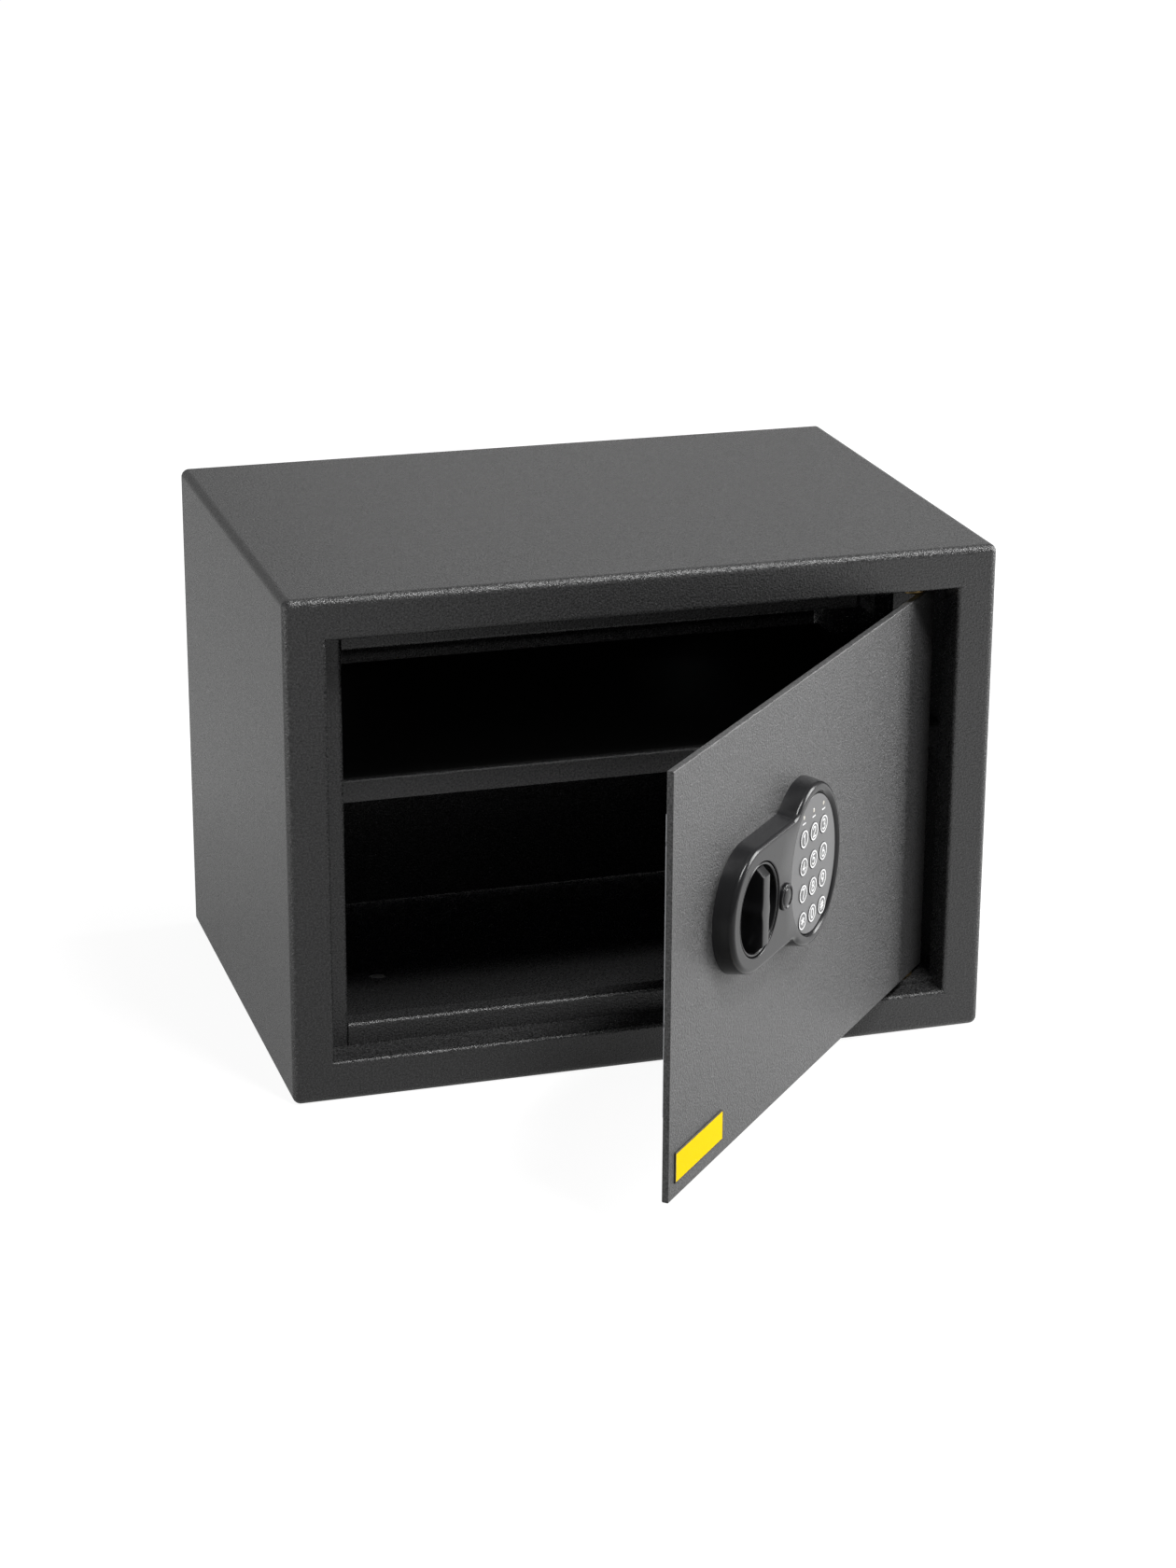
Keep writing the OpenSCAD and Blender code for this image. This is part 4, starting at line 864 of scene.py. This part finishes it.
class SAFE_OT_keypad(bpy.types.Operator):
    """Build the keypad's face, its lenses and its twelve keys"""
    bl_idname = "safe.keypad"
    bl_label = "Keypad"

    def execute(self, context):
        panel, _, pad = sizes()
        middle_x, middle_z = panel.axis_x + panel.pad_in, panel.axis_z
        columns = [middle_x + k * pad.pitch_x for k in (-1, 0, 1)]
        rows = [middle_z + k * pad.pitch_z for k in (1.19, 0.18, -0.81, -1.81)]
        keys = [(x, z) for z in rows for x in columns]
        lenses = [(x, middle_z + 1.95 * pad.pitch_z) for x in columns]
        self.build_plate(panel, pad, keys, lenses)
        self.build_lenses(pad, lenses)
        self.build_keys(pad, keys)
        return {"FINISHED"}

    def build_plate(self, panel, pad, keys, lenses):
        """A row of ovals with a quarter round at the top, round wells for the keys and lenses, and a
        printed dash under each lens."""
        soft, land, key_play, lens_play = 0.0005, 0.0002, 0.0002, 0.0001
        dash_half, dash_down, dash_width = 0.0016, 0.0028, 0.0006
        steps = [(0.0, pad.foot), *arc(-soft, pad.top - soft, soft, soft, 0, 90, 6),
                 (-soft - land, pad.top)]
        wall = skin(np.stack([ring_at(oval(panel, pad, grow, 120), h) for grow, h in steps]), True)
        wells = [(x, z, pad.key + key_play, 48) for x, z in keys]
        wells += [(x, z, pad.lens + lens_play, 24) for x, z in lenses]
        holes = [circle(*well) for well in wells]
        face = flat(oval(panel, pad, -soft - land, 120), holes, pad.top)
        back = flat(oval(panel, pad, 0.0, 120), holes, pad.foot)
        sides = [spun([(r, pad.top), (r, pad.foot)], count, (x, z)) for x, z, r, count in wells]
        path = np.array([(-dash_half, -dash_down), (dash_half, -dash_down)])
        dashes = []
        for x, z in lenses:
            dashes += ribbon(path, dash_width, x, z, pad.top)
        piece("keypad_plate", [wall, face, back, *sides, *dashes], "door",
              ["keypad_grey", "print_white"], ["keypad_face"])

    def build_lenses(self, pad, lenses):
        """Short stems with a low dome, a quarter of an ellipse turned about its axis."""
        sag = 0.0001
        profile = [(TIP, pad.top + sag), *arc(0, pad.top - sag, pad.lens, 2 * sag, 90, 0, 6)[1:],
                   (pad.lens, pad.foot), (TIP, pad.foot)]
        piece("lens_row", [spun(profile, 24, place) for place in lenses], "door", ["lens"],
              ["status_lenses"])

    def build_keys(self, pad, keys):
        """Round caps with a quarter round at the edge, each with a printed ring and its mark."""
        crown, foot, edge = pad.top + pad.key_up, pad.foot + 0.0007, 0.00025
        ring_in, ring_out = pad.key - 0.00085, pad.key - 0.0002
        profile = [(TIP, crown), *((share * (pad.key - edge), crown) for share in (0.35, 0.7, 0.95)),
                   *arc(pad.key - edge, crown - edge, edge, edge, 90, 0, 6), (pad.key, foot), (TIP, foot)]
        for (name, lines), (x, z) in zip(strokes().items(), keys):
            patches = [spun(profile, 48, (x, z)), print_ring(x, z, ring_in, ring_out, crown)]
            for path in lines:
                patches += ribbon(path * pad.digit, pad.stroke, x, z, crown)
            piece("keycap_" + name, patches, "button_" + name,
                  ["keypad_grey", "print_white"], ["key_" + name])


class SAFE_OT_keyhole_cap(bpy.types.Operator):
    """Build the domed cap over the keyhole"""
    bl_idname = "safe.keyhole_cap"
    bl_label = "Keyhole cap"

    def execute(self, context):
        panel, _, _ = sizes()
        foot, end = panel.rise + 0.0001, panel.rise - 0.0013
        stem, outer, bead = 0.0052, 0.0063, 0.0007

        # A profile turned about the axis: flat dome, groove, round bead, and the stem that snaps in
        profile = [(TIP, foot + 0.00165), *arc(0, foot + 0.0009, 0.0042, 0.00075, 75, 0, 7),
                   (0.0044, foot + 0.0007), (0.0047, foot + 0.00065), (0.0050, foot + 0.0009),
                   *arc(outer - bead, foot + 0.0005, bead, bead, 140, 0, 9),
                   (outer, foot), (stem, foot), (stem, end), (TIP, end)]
        cap = spun(profile, 80, (panel.axis_x + panel.lock_x, panel.axis_z + panel.lock_z))
        piece("keyhole_cap", [cap], "cap", ["panel_black"], ["key_cap"])
        return {"FINISHED"}


class SAFE_OT_label(bpy.types.Operator):
    """Build the bare label plate"""
    bl_idname = "safe.label"
    bl_label = "Label plate"

    def execute(self, context):
        left, bottom, wide, high, thick = -0.1465, 0.033, 0.0505, 0.0147, 0.0006
        corner, tightest, chamfer, border = 0.0006, 0.0001, 0.00015, 0.0007
        middle_x, middle_z = left + wide / 2, bottom + high / 2

        def rounded(inset):
            """A box with a quarter circle at each corner, all moved in by the inset."""
            radius = max(corner - inset, tightest)
            moved = inset - corner + tightest if inset > corner else 0
            half_x, half_z = wide / 2 - corner - moved, high / 2 - corner - moved
            quarters = ((1, 1, 0), (-1, 1, 90), (-1, -1, 180), (1, -1, 270))
            return np.concatenate([arc(middle_x + side_x * half_x, middle_z + side_z * half_z,
                                       radius, radius, start, start + 90, 7)
                                   for side_x, side_z, start in quarters])

        # The dark side, chamfer and border band are partly the plate's dark edge and partly painted shade
        # of its thickness
        steps = [(0.0, 0.0), (0.0, thick - chamfer), (chamfer, thick), (border, thick)]
        edge = skin(np.stack([ring_at(rounded(inset), h) for inset, h in steps]), True, 1)
        face = flat(rounded(border), [], thick)
        back = flat(rounded(0.0), [], 0.0, 1)
        piece("label_face", [edge, face, back], "door", ["label_yellow", "label_edge"],
              ["label_plate"])
        return {"FINISHED"}


def lamp(name, place, target, width, height, watts):
    """A soft rectangular lamp that looks at its target."""
    data = bpy.data.lights.new(name, "AREA")
    data.shape = "RECTANGLE"
    data.size = width
    data.size_y = height
    data.energy = watts
    thing = placed(name, data)
    thing.location = place
    thing.rotation_euler = (Vector(target) - Vector(place)).to_track_quat("-Z", "Y").to_euler()


class SAFE_OT_stage(bpy.types.Operator):
    """Set up the camera, the lamps and the pale floor"""
    bl_idname = "safe.stage"
    bl_label = "Camera, floor and lamps"

    def execute(self, context):
        look = context.scene.safe_stage
        self.place_camera(context, look)
        self.place_floor(look)
        self.place_world(context, look)
        for name, place, target, width, height in LAMPS:
            lamp(name, place, target, width, height, getattr(look, name))
        return {"FINISHED"}

    def place_camera(self, context, look):
        """The camera's axes follow from its azimuth, elevation and roll."""
        azimuth, roll, level = look.azimuth, look.roll, math.cos(look.elevation)
        back = Vector((math.sin(azimuth) * level, -math.cos(azimuth) * level, math.sin(look.elevation)))
        right = Vector((math.cos(azimuth), math.sin(azimuth), 0.0))
        up = back.cross(right)
        turned_right = right * math.cos(roll) + up * math.sin(roll)
        turned_up = up * math.cos(roll) - right * math.sin(roll)
        data = bpy.data.cameras.new("camera")
        data.sensor_fit = "HORIZONTAL"
        data.sensor_width = 36
        data.lens = look.lens
        data.shift_x, data.shift_y = LENS_SHIFT
        data.clip_end = 60
        thing = placed("camera", data)
        axes = Matrix((turned_right, turned_up, back)).transposed().to_4x4()
        thing.matrix_world = Matrix.Translation(TARGET + back * look.distance) @ axes
        context.scene.camera = thing

    def place_floor(self, look):
        """A wide pale floor, white to the eye but for the object's shadow and the ground under it. Its
        glow shows only to the camera, whiter further off, and in reflections, stronger at the right."""
        grey, half = (0.3, 0.3, 0.3, 1), 14.0
        # How far inside the object's box the ground counts as open, the distances between which its glow
        # rises to white, and the places between which its reflection gets brighter
        inset, near, far, left, right = 0.006, 0.8, 2.5, -0.1, 0.25
        material = bpy.data.materials.new("studio_floor")
        tree = emptied(material)
        rays = add(tree, "ShaderNodeLightPath").outputs
        ground = add(tree, "ShaderNodeTexCoord").outputs["Object"]
        spot = add(tree, "ShaderNodeSeparateXYZ", {0: ground}).outputs
        past_x = maths(tree, "SUBTRACT", maths(tree, "ABSOLUTE", spot[0]), CAD_BOX[1].x - inset)
        past_y = maths(tree, "SUBTRACT", maths(tree, "ABSOLUTE", spot[1]), CAD_BOX[1].y - inset)
        open_floor = maths(tree, "GREATER_THAN", maths(tree, "MAXIMUM", past_x, past_y), 0.0)
        away = add(tree, "ShaderNodeVectorMath", {0: ground}, operation="LENGTH").outputs["Value"]
        seen = ranged(tree, away, near, far, look.floor_glow, 1.0)
        eye = maths(tree, "MULTIPLY", rays["Is Camera Ray"], seen)
        mirrored = ranged(tree, spot[0], left, right, look.floor_mirrored, look.floor_bright)
        strength = maths(tree, "MULTIPLY_ADD", rays["Is Glossy Ray"], mirrored, eye)
        shown = maths(tree, "MULTIPLY", strength, open_floor)
        glow = add(tree, "ShaderNodeEmission", {"Strength": shown})
        plain = add(tree, "ShaderNodeBsdfDiffuse", {"Color": grey})
        both = add(tree, "ShaderNodeAddShader", {0: glow.outputs[0], 1: plain.outputs[0]})
        add(tree, "ShaderNodeOutputMaterial", {"Surface": both.outputs[0]})
        mesh = bpy.data.meshes.new("floor")
        corners = [(-half, -half, 0), (half, -half, 0), (half, half, 0), (-half, half, 0)]
        mesh.from_pydata(corners, [], [(0, 1, 2, 3)])
        mesh.materials.append(material)
        floor = placed("floor", mesh)

    def place_world(self, context, look):
        """White to the eye, dimmer in reflections, and a weak light from all sides for the rest."""
        world = bpy.data.worlds.new("studio")
        context.scene.world = world
        tree = emptied(world)
        rays = add(tree, "ShaderNodeLightPath").outputs
        seen = maths(tree, "MULTIPLY_ADD", rays["Is Camera Ray"], 1.0 - look.fill, look.fill)
        strength = maths(tree, "MULTIPLY_ADD", rays["Is Glossy Ray"], look.mirrored - look.fill, seen)
        back = add(tree, "ShaderNodeBackground", {"Color": (1, 1, 1, 1), "Strength": strength})
        add(tree, "ShaderNodeOutputWorld", {"Surface": back.outputs[0]})
        context.scene.view_settings.view_transform = "Standard"


class SAFE_PT_panel(bpy.types.Panel):
    """The steps that finish the safe"""
    bl_label = "Electronic safe"
    bl_idname = "SAFE_PT_panel"
    bl_space_type = "VIEW_3D"
    bl_region_type = "UI"
    bl_category = "Safe"

    def draw(self, context):
        for step in OPERATORS:
            self.layout.operator(step.bl_idname)


GROUPS = {"safe_panel": PanelSizes, "safe_knob": KnobSizes, "safe_keypad": KeypadSizes,
          "safe_paint": PaintLook, "safe_stage": StageLook}
OPERATORS = (SAFE_OT_finishes, SAFE_OT_soft_edges, SAFE_OT_lock_panel, SAFE_OT_knob, SAFE_OT_keypad,
             SAFE_OT_keyhole_cap, SAFE_OT_label, SAFE_OT_stage)


def register():
    """Registers the classes and puts the property groups on the scene."""
    for kind in (*GROUPS.values(), *OPERATORS, SAFE_PT_panel):
        bpy.utils.register_class(kind)
    for name, kind in GROUPS.items():
        setattr(bpy.types.Scene, name, PointerProperty(type=kind))


def unregister():
    """Takes the property groups off the scene and the classes out again."""
    for name in GROUPS:
        delattr(bpy.types.Scene, name)
    for kind in reversed((*GROUPS.values(), *OPERATORS, SAFE_PT_panel)):
        bpy.utils.unregister_class(kind)


def main():
    """Builds every piece and the stage."""
    register()
    bpy.ops.safe.finishes()
    bpy.ops.safe.soft_edges()
    bpy.ops.safe.lock_panel()
    bpy.ops.safe.knob()
    bpy.ops.safe.keypad()
    bpy.ops.safe.keyhole_cap()
    bpy.ops.safe.label()
    bpy.ops.safe.stage()


if __name__ == "__main__":
    main()
